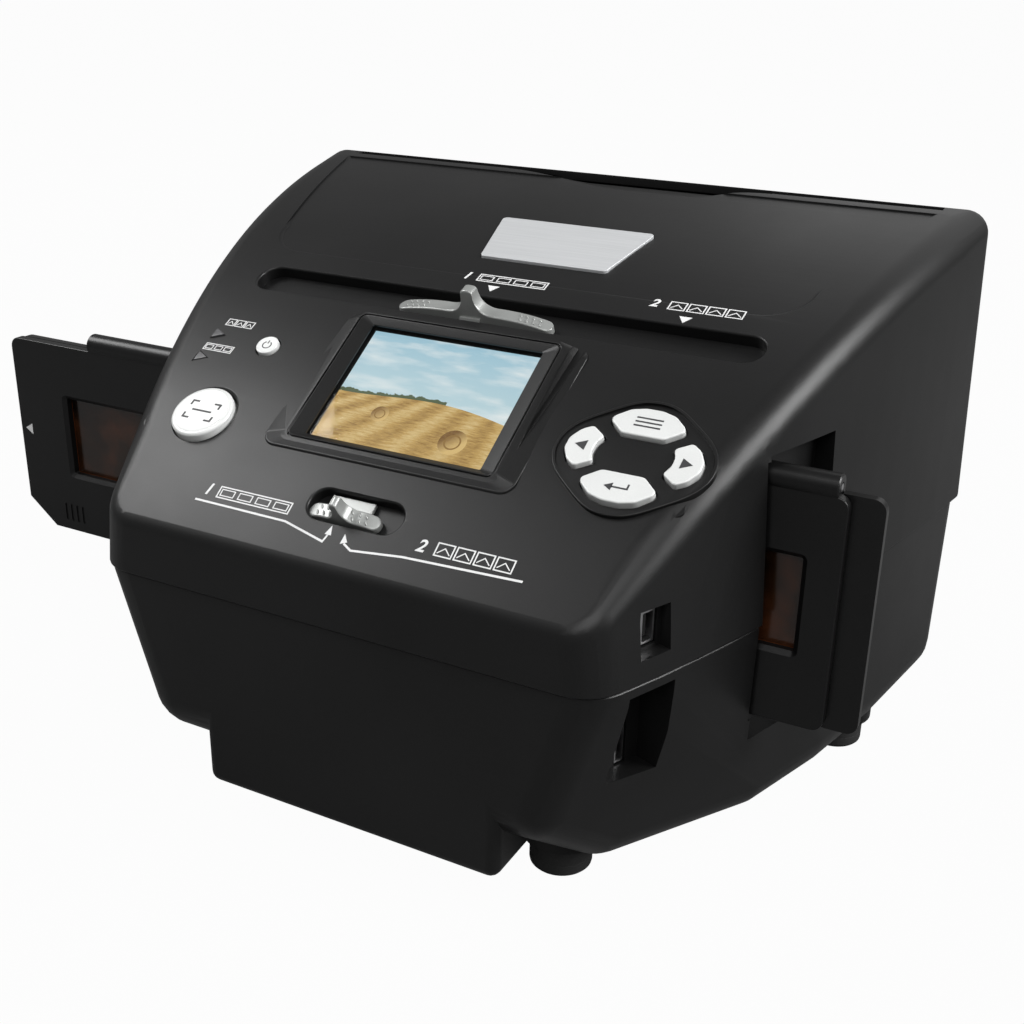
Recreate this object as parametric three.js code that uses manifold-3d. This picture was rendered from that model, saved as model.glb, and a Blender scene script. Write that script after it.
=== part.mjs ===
// Film negative scanner: a wedge casing with a sloping deck, a film holder that slides through it,
// and the optics behind the deck. Lengths in millimetres.
// x runs from the middle of the casing to the right, y back from the middle of the screen, z up.
import * as THREE from 'three';
import { ConvexGeometry } from 'three/addons/geometries/ConvexGeometry.js';
import { mergeVertices } from 'three/addons/utils/BufferGeometryUtils.js';
import Module from 'manifold-3d';

const wasm = await Module();
wasm.setup();

// Driving dimensions of the whole object
const degree = Math.PI / 180;
const overrun = 6;
const seat = 0.3;
const wall = 2.4;
const screenHigh = 113;
const screenWide = 48.96;
const screenTall = 36.72;
const screenSlope = 33.5 * degree;
const frameWide = 36;
const frameTall = 24;
const framePitch = 38;
const frameCount = 6;
const filmTall = 35;
const farMargin = 20;

// Casing seen from above: half widths from the front corner to the rear corner
const frontY = -44;
const rearY = 122;
const planFront = { half: 66, y: -42 };
const planMiddle = { half: 96, y: 30 };
const planRear = { half: 108, y: 120 };
const wallLean = 3;

// Casing seen from the side: the deck curve, the joint between the shells and the underside
const deckFront = { y: -43, z: 87, slope: 33.5 * degree, reach: 75 };
const deckCrest = { y: 118, z: 151, slope: 7 * degree, reach: 60 };
const noseRadius = 11;
const ridgeRadius = 8;
const crestRadius = 9;
const partingHigh = 67;
const underside = 10;
const frontUnderside = 27;
const bevelHigh = 48;
const lowerInset = 1.2;
const lowerRadius = 9;
const skirt = { half: 41, depth: 34, bottom: 10.5, top: 45, radius: 3 };
const lowerPlan = { frontHalf: 60, sideHalf: 66, sideY: -6, middleHalf: 85, middleY: 33, rearHalf: 100, rearY: 96 };

// Fineness of round forms
const ballSides = 16;
const ballRings = 8;
const discSides = 40;
const rodSides = 20;
const headSides = 16;
const pinSides = 12;
const deckSamples = 10;

const plasticBlack = { color: 0x17181a, roughness: 0.42, metalness: 0 };
const innerBlack = { color: 0x101113, roughness: 0.7, metalness: 0 };
const silverPaint = { color: 0xc9cbcd, roughness: 0.35, metalness: 0.35 };
const circuitGreen = { color: 0x1f5a34, roughness: 0.55, metalness: 0.05 };
const steel = { color: 0x9a9da0, roughness: 0.35, metalness: 0.9 };
const rubberBlack = { color: 0x0c0c0d, roughness: 0.9, metalness: 0 };

// Helpers for solids

function solidOf(geometry) {
  const bare = geometry.clone();
  bare.deleteAttribute('normal');
  bare.deleteAttribute('uv');
  const merged = mergeVertices(bare, 1e-4);
  const source = merged.index.array;
  const kept = [];
  for (let i = 0; i < source.length; i += 3) {
    const corners = [source[i], source[i + 1], source[i + 2]];
    if (new Set(corners).size === 3) kept.push(...corners);
  }
  const vertProperties = new Float32Array(merged.attributes.position.array);
  const triVerts = new Uint32Array(kept);
  return new wasm.Manifold(new wasm.Mesh({ numProp: 3, vertProperties, triVerts }));
}

function geometryOf(solid) {
  const mesh = solid.getMesh();
  const geometry = new THREE.BufferGeometry();
  geometry.setAttribute('position', new THREE.BufferAttribute(new Float32Array(mesh.vertProperties), 3));
  geometry.setIndex(new THREE.BufferAttribute(new Uint32Array(mesh.triVerts), 1));
  geometry.computeVertexNormals();
  return geometry;
}

function piece(name, form, look) {
  const geometry = form.isBufferGeometry ? form : geometryOf(form);
  const mesh = new THREE.Mesh(geometry, new THREE.MeshStandardMaterial(look));
  mesh.name = name;
  return mesh;
}

function joinAll(solids) {
  return solids.reduce((whole, next) => whole.add(next));
}

function cutAll(body, tools) {
  return tools.reduce((left, tool) => left.subtract(tool), body);
}

// A box from its lowest to its highest corner
function block(x0, x1, y0, y1, z0, z1) {
  const box = new THREE.BoxGeometry(x1 - x0, y1 - y0, z1 - z0);
  box.translate((x0 + x1) / 2, (y0 + y1) / 2, (z0 + z1) / 2);
  return solidOf(box);
}

// A round bar of the given radius between two points
function bar(radius, from, to, sides = rodSides) {
  const start = new THREE.Vector3(...from);
  const end = new THREE.Vector3(...to);
  const along = end.clone().sub(start);
  const rod = new THREE.CylinderGeometry(radius, radius, along.length(), sides);
  rod.applyQuaternion(new THREE.Quaternion().setFromUnitVectors(new THREE.Vector3(0, 1, 0), along.normalize()));
  rod.translate((start.x + end.x) / 2, (start.y + end.y) / 2, (start.z + end.z) / 2);
  return solidOf(rod);
}

// A flat outline pushed up from z0 to z1
function slab(shape, z0, z1, curveSegments = 8) {
  const geometry = new THREE.ExtrudeGeometry(shape, { depth: z1 - z0, bevelEnabled: false, curveSegments });
  geometry.translate(0, 0, z0);
  return solidOf(geometry);
}

function roundedRectangle(wide, tall, radius) {
  const shape = new THREE.Shape();
  const right = wide / 2;
  const top = tall / 2;
  shape.moveTo(-right + radius, -top);
  shape.lineTo(right - radius, -top);
  shape.absarc(right - radius, -top + radius, radius, -Math.PI / 2, 0);
  shape.lineTo(right, top - radius);
  shape.absarc(right - radius, top - radius, radius, 0, Math.PI / 2);
  shape.lineTo(-right + radius, top);
  shape.absarc(-right + radius, top - radius, radius, Math.PI / 2, Math.PI);
  shape.lineTo(-right, -top + radius);
  shape.absarc(-right + radius, -top + radius, radius, Math.PI, Math.PI * 3 / 2);
  return shape;
}

// The hull of balls, each given by its middle and its radius
function hullOfBalls(balls, offset = 0) {
  const points = [];
  for (const ball of balls) {
    const sphere = new THREE.SphereGeometry(ball.radius - offset, ballSides, ballRings);
    const places = sphere.attributes.position;
    for (let i = 0; i < places.count; i += 1) {
      points.push(new THREE.Vector3().fromBufferAttribute(places, i).add(ball.middle));
    }
  }
  return solidOf(new ConvexGeometry(points));
}

// The casing's two guiding curves

const deckCurve = new THREE.CubicBezierCurve(
  new THREE.Vector2(deckFront.y, deckFront.z),
  new THREE.Vector2(deckFront.y + deckFront.reach * Math.cos(deckFront.slope),
    deckFront.z + deckFront.reach * Math.sin(deckFront.slope)),
  new THREE.Vector2(deckCrest.y - deckCrest.reach * Math.cos(deckCrest.slope),
    deckCrest.z - deckCrest.reach * Math.sin(deckCrest.slope)),
  new THREE.Vector2(deckCrest.y, deckCrest.z));

const planCurve = new THREE.QuadraticBezierCurve(
  new THREE.Vector2(planFront.y, planFront.half),
  new THREE.Vector2(planMiddle.y, planMiddle.half),
  new THREE.Vector2(planRear.y, planRear.half));

// Where a curve reaches a value of y, after an inward offset square to the curve
function shareAt(curve, y, offset = 0) {
  let low = 0;
  let high = 1;
  for (let step = 0; step < 40; step += 1) {
    const middle = (low + high) / 2;
    const point = curve.getPoint(middle);
    const along = curve.getTangent(middle);
    if (point.x + along.y * offset < y) low = middle;
    else high = middle;
  }
  return (low + high) / 2;
}

const deckHigh = (y) => deckCurve.getPoint(shareAt(deckCurve, y)).y;
const halfWide = (y) => planCurve.getPoint(shareAt(planCurve, y)).y;

function deckSlope(y) {
  const along = deckCurve.getTangent(shareAt(deckCurve, y));
  return Math.atan2(along.y, along.x);
}

// The place on the deck above (x, y), with local z square to the deck and local y up the slope
function onDeck(x, y) {
  const turn = new THREE.Matrix4().makeRotationX(deckSlope(y));
  return turn.setPosition(x, y, deckHigh(y));
}

// The place on the right wall at height z, with local x pointing out and local y to the rear
function onRightWall(y, z) {
  const along = planCurve.getTangent(shareAt(planCurve, y));
  const turn = new THREE.Matrix4().makeRotationZ(-Math.atan2(along.y, along.x));
  return turn.setPosition(halfWide(y) + wallLean, y, z);
}

const onScreen = new THREE.Matrix4().makeRotationX(screenSlope).setPosition(0, 0, screenHigh);

function placed(solid, matrix) {
  return solid.transform(matrix.elements);
}

function mirrored(balls) {
  const sides = [];
  for (const ball of balls) {
    for (const side of [-1, 1]) {
      sides.push({ middle: new THREE.Vector3(side * ball.x, ball.y, ball.z), radius: ball.radius });
    }
  }
  return sides;
}

// Casing shells

function upperBalls() {
  const balls = [];
  const first = frontY + noseRadius;
  const last = rearY - crestRadius;
  for (let i = 0; i < deckSamples; i += 1) {
    const share = i / (deckSamples - 1);
    const y = first + (last - first) * share;
    const radius = i === 0 ? noseRadius : i === deckSamples - 1 ? crestRadius : ridgeRadius;
    const point = deckCurve.getPoint(shareAt(deckCurve, y, radius));
    const slope = deckSlope(point.x);
    const z = point.y - radius * Math.cos(slope);
    balls.push({ x: halfWide(y) - radius, y, z, radius });
    balls.push({ x: halfWide(y) + wallLean - radius, y, z: partingHigh - radius, radius });
  }
  return mirrored(balls);
}

function lowerBalls() {
  const balls = [];
  const r = lowerRadius;
  const first = frontY + noseRadius;
  const last = rearY - crestRadius;
  for (let i = 0; i < deckSamples; i += 1) {
    const y = first + (last - first) * i / (deckSamples - 1);
    const radius = i === 0 ? noseRadius : r;
    const x = halfWide(y) + wallLean - radius - lowerInset;
    const shift = i === 0 ? lowerInset : i === deckSamples - 1 ? -lowerInset : 0;
    balls.push({ x, y: y + shift, z: partingHigh, radius });
  }
  const plan = lowerPlan;
  balls.push({ x: plan.frontHalf - r, y: frontY + lowerInset + r, z: frontUnderside + r, radius: r });
  balls.push({ x: plan.sideHalf - r, y: plan.sideY, z: underside + r, radius: r });
  balls.push({ x: plan.middleHalf - r, y: plan.middleY, z: underside + r, radius: r });
  balls.push({ x: plan.rearHalf - r, y: plan.rearY - r, z: underside + r, radius: r });
  balls.push({ x: halfWide(last) + wallLean - lowerInset - r, y: last - lowerInset, z: bevelHigh + r, radius: r });
  return mirrored(balls);
}

const farHalf = planRear.half + farMargin;
const farTop = deckCrest.z + farMargin;

const upperOuter = hullOfBalls(upperBalls());
const upperInner = hullOfBalls(upperBalls(), wall);
const lowerHull = hullOfBalls(lowerBalls());
const lowerInner = hullOfBalls(lowerBalls(), wall);

// Film holder: two hinged leaves with the strip between them

const opticalHigh = 74.7;
const holder = { y: 12.6, bottom: 43.6, top: 103.1, left: -151.7, frontRight: 103, backRight: 110.6 };
const leafThick = 2.6;
const leafStep = 1;
const barrel = { radius: 3.2, drop: 1.4, left: -120.5, right: 100.4, middleLeft: -50, middleRight: 30 };
const pinRadius = 1;
const leafChamfer = { side: 10, rise: 8 };
const leafCorner = 3;
const filmThick = 0.3;
const windowBevel = 1.2;
const runGap = 0.4;
const barrelHigh = holder.top + barrel.drop;
const frontLeafY = [holder.y - seat / 2 - leafThick, holder.y - seat / 2];
const backLeafY = [holder.y + seat / 2, holder.y + seat / 2 + leafThick];
const guideY = [holder.y - barrel.radius - runGap, holder.y + barrel.radius + runGap];
const filmEnds = [-(frameCount / 2 + 0.5) * framePitch, (frameCount / 2 - 0.5) * framePitch];

// A slab drawn in x and z stands across y, from y0 to y1
function upright(shape, y0, y1, curveSegments = 8) {
  const turn = new THREE.Matrix4().makeRotationX(Math.PI / 2).setPosition(0, y1, 0);
  return placed(slab(shape, 0, y1 - y0, curveSegments), turn);
}

function leafOutline(left, right) {
  const { bottom, top } = holder;
  const shape = new THREE.Shape();
  shape.moveTo(left + leafChamfer.side, bottom);
  shape.lineTo(right - leafCorner, bottom);
  shape.absarc(right - leafCorner, bottom + leafCorner, leafCorner, -Math.PI / 2, 0);
  shape.lineTo(right, top - leafCorner);
  shape.absarc(right - leafCorner, top - leafCorner, leafCorner, 0, Math.PI / 2);
  shape.lineTo(left + leafCorner, top);
  shape.absarc(left + leafCorner, top - leafCorner, leafCorner, Math.PI / 2, Math.PI);
  shape.lineTo(left, bottom + leafChamfer.rise);
  return shape;
}

function windowCuts(grow, yFrom, yTo) {
  const cuts = [];
  for (let i = 0; i < frameCount; i += 1) {
    const x = (i - frameCount / 2) * framePitch;
    const half = frameWide / 2 + grow;
    const tall = frameTall / 2 + grow;
    cuts.push(block(x - half, x + half, yFrom, yTo, opticalHigh - tall, opticalHigh + tall));
  }
  return cuts;
}

function knuckle(left, right, grow = 0) {
  return bar(barrel.radius + grow, [left, holder.y, barrelHigh], [right, holder.y, barrelHigh]);
}

function frontLeaf() {
  const plate = upright(leafOutline(holder.left, holder.frontRight), ...frontLeafY);
  const body = joinAll([plate.subtract(knuckle(barrel.middleLeft, barrel.middleRight, seat)),
    knuckle(barrel.left, barrel.middleLeft), knuckle(barrel.middleRight, barrel.right)]);
  return cutAll(body, [pinRoom(),
    ...windowCuts(0, frontLeafY[0] - overrun, frontLeafY[1] + overrun),
    ...windowCuts(windowBevel, frontLeafY[0] - overrun, frontLeafY[0] + windowBevel / 2)]);
}

function backLeaf() {
  const plate = upright(leafOutline(holder.left + leafStep, holder.backRight), ...backLeafY);
  const cleared = cutAll(plate, [knuckle(barrel.left - seat, barrel.middleLeft + seat, seat),
    knuckle(barrel.middleRight - seat, barrel.right + seat, seat)]);
  const body = cleared.add(knuckle(barrel.middleLeft + seat, barrel.middleRight - seat));
  const filmHalf = filmTall / 2 + seat;
  const room = block(filmEnds[0] - seat, filmEnds[1] + seat, backLeafY[0] - overrun,
    backLeafY[0] + filmThick + seat, opticalHigh - filmHalf, opticalHigh + filmHalf);
  return cutAll(body, [pinRoom(), room, ...windowCuts(0, backLeafY[0] - overrun, backLeafY[1] + overrun)]);
}

function pinRoom() {
  return bar(pinRadius + seat, [barrel.left - overrun, holder.y, barrelHigh],
    [barrel.right + overrun, holder.y, barrelHigh], pinSides);
}

function hingePin() {
  return bar(pinRadius, [barrel.left, holder.y, barrelHigh], [barrel.right, holder.y, barrelHigh], pinSides);
}

function filmStrip() {
  return block(...filmEnds, backLeafY[0], backLeafY[0] + filmThick,
    opticalHigh - filmTall / 2, opticalHigh + filmTall / 2);
}

// Cuts that the holder and the card sockets make in both shells

const passage = { inner: 55, clearance: 0.9 };
const pocket = { y: 21, half: 13, depth: 7, low: 37, high: 110 };
const cardRecess = { y: -27, half: 7, depth: 11, low: 41, high: 65.7 };
const usbRecess = { y: cardRecess.y, half: 4.5, depth: 4, low: 74, high: 85 };

const flipped = (solid) => solid.mirror([1, 0, 0]);
const bothSides = (solid) => [solid, flipped(solid)];

function passageCut() {
  const grow = passage.clearance;
  return block(passage.inner, farHalf, guideY[0] - grow, guideY[1] + grow,
    holder.bottom - grow, barrelHigh + barrel.radius + grow);
}

// The room of a recess in the right wall, grown by grow on its inner sides
function wallCut(form, grow = 0) {
  const room = block(-form.depth - grow, farHalf, -form.half - grow, form.half + grow,
    form.low - grow, form.high + grow);
  return placed(room, onRightWall(form.y, 0));
}

// Sockets and their board, upright inside the right wall

const portBoard = { from: -42, to: -16, y: 3.2, thick: 1.6, low: 41, high: 86 };
const cardSocket = { from: -38, thick: 3, low: 41.3, high: 65.4, mouth: 2.1, lip: 0.8 };
const usbSocket = { from: -14, thick: 4.6, low: 75.2, high: 83.6, mouth: 3.2, lip: 0.8 };
const mouthDepth = 6;

function socket(form, outer) {
  const y = [portBoard.y - seat - form.thick, portBoard.y - seat];
  const middle = (y[0] + y[1]) / 2;
  const body = block(form.from, outer, ...y, form.low, form.high);
  const mouth = block(outer - mouthDepth, outer + overrun, middle - form.mouth / 2, middle + form.mouth / 2,
    form.low + form.lip, form.high - form.lip);
  return placed(body.subtract(mouth), onRightWall(cardRecess.y, 0));
}

function socketRoom(form, outer) {
  const y = [portBoard.y - seat - form.thick, portBoard.y - seat];
  const room = block(form.from, outer + overrun, y[0] - seat, y[1] + seat, form.low - seat, form.high + seat);
  return placed(room, onRightWall(cardRecess.y, 0));
}

const cardOuter = -cardRecess.depth - seat;
const usbOuter = -usbRecess.depth - seat;

function socketBoard() {
  const low = block(portBoard.from, portBoard.to, portBoard.y, portBoard.y + portBoard.thick,
    portBoard.low, portBoard.high);
  return placed(low, onRightWall(cardRecess.y, 0));
}

// Deck controls: a frame for each cluster, with z square to the deck

const leftCluster = { x: -58, y: -6 };
const rightCluster = { x: 58, y: -5.6 };
const leftPanel = onDeck(leftCluster.x, leftCluster.y);
const rightPanel = onDeck(rightCluster.x, rightCluster.y);
const scanButton = { u: 3.5, v: -13.2, radius: 9.3, proud: 1.7, dome: 0.9 };
const powerButton = { u: 7.5, v: 12.4, radius: 3.2, proud: 0.9, dome: 0.3 };
const lights = { u: -9.5, photoV: 13.8, filmV: 5, side: 3.4, proud: 0.2 };
const travel = 0.8;
const flange = { wide: 1.5, thick: 1, top: -4.6 };
const stemRadius = 1.8;
const keyBoard = { top: -8.2, thick: 1.6 };
const switchSize = { half: 2.6, high: 1 };
const keyRing = { outerU: 16.5, outerV: 13.5, innerU: 6.9, innerV: 5.3, gap: 2.6, proud: 1.5 };
const surround = { gap: 1.6, wide: 0.8, proud: 0.7 };
const fitGap = 0.35;
const stemEnd = keyBoard.top + switchSize.high + travel + seat;
const cutDepth = 12;

// The dished top of a round key: shares of its radius, and of its dome below the rim
const capShares = [[1, 1], [0.93, 0.33], [0.8, 0], [0.5, 0.25], [0, 0.4]];

function roundCap(form) {
  const r = form.radius;
  const points = [[0, flange.top - flange.thick], [r + flange.wide, flange.top - flange.thick],
    [r + flange.wide, flange.top], [r, flange.top]];
  for (const [out, down] of capShares) points.push([r * out, form.proud - form.dome * down]);
  const cap = solidOf(new THREE.LatheGeometry(points.map((p) => new THREE.Vector2(...p)), discSides));
  const standing = placed(cap, new THREE.Matrix4().makeRotationX(Math.PI / 2));
  return standing.add(bar(stemRadius, [0, 0, flange.top - seat], [0, 0, stemEnd]))
    .translate([form.u, form.v, 0]);
}

function hole(form) {
  return bar(form.radius + fitGap, [form.u, form.v, -cutDepth], [form.u, form.v, overrun], discSides);
}

// A quarter of the oval ring, seen from above, grown outwards by grow
function keyOutline(quarter, grow) {
  const shape = new THREE.Shape();
  const spread = Math.PI / 4;
  const middle = quarter * Math.PI / 2;
  const steps = 8;
  const shrink = keyRing.gap / 2 - grow;
  const ring = [];
  for (const [u, v, way] of [[keyRing.outerU + grow, keyRing.outerV + grow, 1],
    [keyRing.innerU - grow, keyRing.innerV - grow, -1]]) {
    const edge = Math.asin(shrink / Math.min(u, v));
    for (let i = 0; i <= steps; i += 1) {
      const share = way > 0 ? i / steps : 1 - i / steps;
      const angle = middle - spread + edge + (2 * spread - 2 * edge) * share;
      ring.push(new THREE.Vector2(u * Math.cos(angle), v * Math.sin(angle)));
    }
  }
  shape.setFromPoints(ring);
  return shape;
}

function keyCap(quarter) {
  const middle = quarter * Math.PI / 2;
  const u = (keyRing.outerU + keyRing.innerU) / 2 * Math.cos(middle);
  const v = (keyRing.outerV + keyRing.innerV) / 2 * Math.sin(middle);
  const foot = slab(keyOutline(quarter, flange.wide / 2), flange.top - flange.thick, flange.top);
  const cap = slab(keyOutline(quarter, 0), flange.top - seat, keyRing.proud);
  return joinAll([foot, cap, bar(stemRadius, [u, v, flange.top - seat], [u, v, stemEnd])]);
}

function oval(u, v) {
  const shape = new THREE.Shape();
  shape.absellipse(0, 0, u, v, 0, Math.PI * 2);
  return shape;
}

function surroundRim() {
  const u = keyRing.outerU + surround.gap;
  const v = keyRing.outerV + surround.gap;
  const rim = slab(oval(u + surround.wide, v + surround.wide), -wall / 2, surround.proud, 16);
  return rim.subtract(slab(oval(u, v), -wall, overrun, 16));
}

function lightPipe(v) {
  const side = lights.side;
  const shape = new THREE.Shape();
  shape.moveTo(-side / 2, -side / 2);
  shape.lineTo(side / 2, 0);
  shape.lineTo(-side / 2, side / 2);
  return slab(shape, keyBoard.top + seat, lights.proud).translate([lights.u, v, 0]);
}

function lightHole(v) {
  const half = lights.side / 2 + fitGap * 2;
  const shape = new THREE.Shape();
  shape.moveTo(-half, -half - fitGap);
  shape.lineTo(half + fitGap, 0);
  shape.lineTo(-half, half + fitGap);
  return slab(shape, -overrun, overrun).translate([lights.u, v, 0]);
}

function boardWith({ left, right, front, rear }, places) {
  const board = block(left, right, front, rear, keyBoard.top - keyBoard.thick, keyBoard.top);
  const half = switchSize.half;
  const switches = places.map(([u, v]) => block(u - half, u + half, v - half, v + half,
    keyBoard.top - keyBoard.thick / 2, keyBoard.top + switchSize.high));
  return joinAll([board, ...switches]);
}

const keyMiddleU = (keyRing.outerU + keyRing.innerU) / 2;
const keyMiddleV = (keyRing.outerV + keyRing.innerV) / 2;
const keyPlaces = [[keyMiddleU, 0], [0, keyMiddleV], [-keyMiddleU, 0], [0, -keyMiddleV]];
const leftBoard = { left: -13.5, right: 14.5, front: -20, rear: 16 };
const rightBoard = { left: -15.6, right: 15.6, front: -13.5, rear: 12.5 };
const leftPosts = [[-11, -18], [12, 3]];
const rightPosts = [[0, 0], [-14.3, 11.7], [14.3, -12]];
const postRadius = 1.9;

function boardPosts(panel, places) {
  const standing = ([u, v]) => bar(postRadius, [u, v, -wall / 2], [u, v, keyBoard.top + seat], pinSides);
  return places.map((place) => placed(standing(place), panel));
}

// The two sliding levers in their channels

const longSlot = { x: 2, y: 29, long: 146, wide: 9, depth: 3.4, travel: 52.6 };
const shortSlot = { x: 0.5, y: -31, long: 25.4, wide: 8.4, depth: 3, travel: 4.5 };
const longLever = { x: -2, long: 45, wide: 7.4, tip: 10.5, tipHalf: 2.6, shoulder: 4, end: 1.8 };
const shortLever = { x: -2.2, long: 19.4, wide: 6.8, tip: 8, tipHalf: 2, shoulder: 2.6, end: 1.4 };
const longStem = { y: 27, half: 3, thick: 3 };
const shortStem = { y: -29, half: 1.5, thick: 2 };
const leverRound = 1;
const leverRoot = 1;
const leverFootShare = 2.6;
const leverFlatShare = 0.7;

function leverProfile(form) {
  const half = form.long / 2;
  const foot = form.tipHalf * leverFootShare;
  const flat = half * leverFlatShare;
  const neck = form.tip - leverRound;
  const shape = new THREE.Shape();
  shape.moveTo(-half, 0);
  shape.lineTo(-half, form.end);
  shape.quadraticCurveTo(-flat, form.shoulder, -foot, form.shoulder);
  shape.quadraticCurveTo(-form.tipHalf, form.shoulder, -form.tipHalf, neck);
  shape.quadraticCurveTo(-form.tipHalf, form.tip, 0, form.tip);
  shape.quadraticCurveTo(form.tipHalf, form.tip, form.tipHalf, neck);
  shape.quadraticCurveTo(form.tipHalf, form.shoulder, foot, form.shoulder);
  shape.quadraticCurveTo(flat, form.shoulder, half, form.end);
  shape.lineTo(half, 0);
  return shape;
}

function leverTop(form, slot) {
  const half = form.wide / 2;
  const side = upright(leverProfile(form), -half, half, 5);
  const plan = slab(roundedRectangle(form.long, form.wide, half - seat / 2), 0, form.tip, 6);
  const raised = side.intersect(plan).translate([form.x - slot.x, 0, seat - slot.depth]);
  return placed(raised, onDeck(slot.x, slot.y));
}

function channelBlock(slot, grow) {
  const shape = roundedRectangle(slot.long + 2 * grow, slot.wide + 2 * grow, slot.wide / 2 + grow - seat / 2);
  return placed(slab(shape, -slot.depth - grow, overrun), onDeck(slot.x, slot.y));
}

function stemCut(slot, lever, stem) {
  const gap = seat * 2;
  return block(lever.x - stem.half - gap, lever.x + stem.half + slot.travel + gap,
    stem.y - stem.thick / 2 - seat, stem.y + stem.thick / 2 + seat,
    deckHigh(slot.y) - slot.depth - cutDepth, deckHigh(slot.y) + overrun);
}

// Backlight: a carriage on two rails behind the film

const carriage = { half: 24, y0: 23, y1: 33, low: 58, high: 92, window: [20, 14] };
const rail = { y: 27, high: 97, low: 53, radius: 2, left: -17, right: 71.5 };
const ear = { half: 12, round: 4 };
const diffuser = { half: 22, tall: 16, y: 23.6, thick: 2 };
const ledBoard = { half: 23, tall: 16.4, y: 33.3, thick: 1.6 };
const led = { columns: 3, rows: 2, pitchX: 12, pitchZ: 14, half: 1.5, high: 1 };

function carriageBody() {
  const shell = block(-carriage.half, carriage.half, carriage.y0, carriage.y1, carriage.low, carriage.high);
  const reach = rail.radius + wall;
  const ears = block(-ear.half, ear.half, rail.y - reach, rail.y + reach, rail.low - reach, rail.high + reach);
  const room = block(-diffuser.half - seat, diffuser.half + seat, diffuser.y - seat,
    diffuser.y + diffuser.thick + seat, opticalHigh - diffuser.tall - seat, farTop);
  const [wide, tall] = carriage.window;
  const light = block(-wide, wide, carriage.y0 - overrun, carriage.y1 + overrun,
    opticalHigh - tall, opticalHigh + tall);
  const bores = [rail.low, rail.high].map((z) => bar(rail.radius + seat,
    [-ear.half - overrun, rail.y, z], [ear.half + overrun, rail.y, z]));
  return cutAll(shell.add(ears), [room, light, ...bores]);
}

function diffuserPlate() {
  return block(-diffuser.half, diffuser.half, diffuser.y, diffuser.y + diffuser.thick,
    opticalHigh - diffuser.tall, opticalHigh + diffuser.tall);
}

function ledPlate() {
  const board = block(-ledBoard.half, ledBoard.half, ledBoard.y, ledBoard.y + ledBoard.thick,
    opticalHigh - ledBoard.tall, opticalHigh + ledBoard.tall);
  const leds = [];
  for (let column = 0; column < led.columns; column += 1) {
    for (let row = 0; row < led.rows; row += 1) {
      const x = (column - (led.columns - 1) / 2) * led.pitchX;
      const z = opticalHigh + (row - (led.rows - 1) / 2) * led.pitchZ;
      leds.push(block(x - led.half, x + led.half, ledBoard.y - led.high, ledBoard.y + ledBoard.thick / 2,
        z - led.half, z + led.half));
    }
  }
  return joinAll([board, ...leds]);
}

const railBar = (z) => bar(rail.radius, [rail.left, rail.y, z], [rail.right, rail.y, z]);
const carriageTop = rail.high + rail.radius + wall;

function backlightLever() {
  const stem = block(longLever.x - longStem.half, longLever.x + longStem.half, longStem.y - longStem.thick / 2,
    longStem.y + longStem.thick / 2, carriageTop + seat, deckHigh(longStem.y) - leverRoot);
  return leverTop(longLever, longSlot).add(stem);
}

// Optical frame: holds the sensor, the lens and the film guide in line

const frontPlate = { half: 27, y0: -33, y1: -30, low: 62, high: 84 };
const arms = { half: 27, thick: 3 };
const midPlate = { y0: -17, y1: -14.5, low: 64, high: 86 };
const guide = { half: 38, low: 38, frontTop: 100, rearTop: 104, right: 74, thick: 2.4 };
const aperture = { half: 20.5, tall: 14.5 };
const leg = { x0: 30, x1: 35 };
const lens = { radius: 7, bore: 5, y0: -31.2, y1: -12, glassThick: 2, glassSet: 0.5, focus: 1.2 };
const focusPin = { y: -26, radius: 1.2, root: 1, top: 87 };
const camPlate = { half: 8, y0: -32, y1: -22, low: 84.6, high: 86.2 };
const sensorBoard = { half: 14, y: -36.6, thick: 1.6, chip: [4, 3], chipThick: 1.4 };
const sensorPost = { radius: 1.6, rise: 8 };
const bracket = { left: [-19.5, -16.5], right: [71, 74] };

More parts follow.
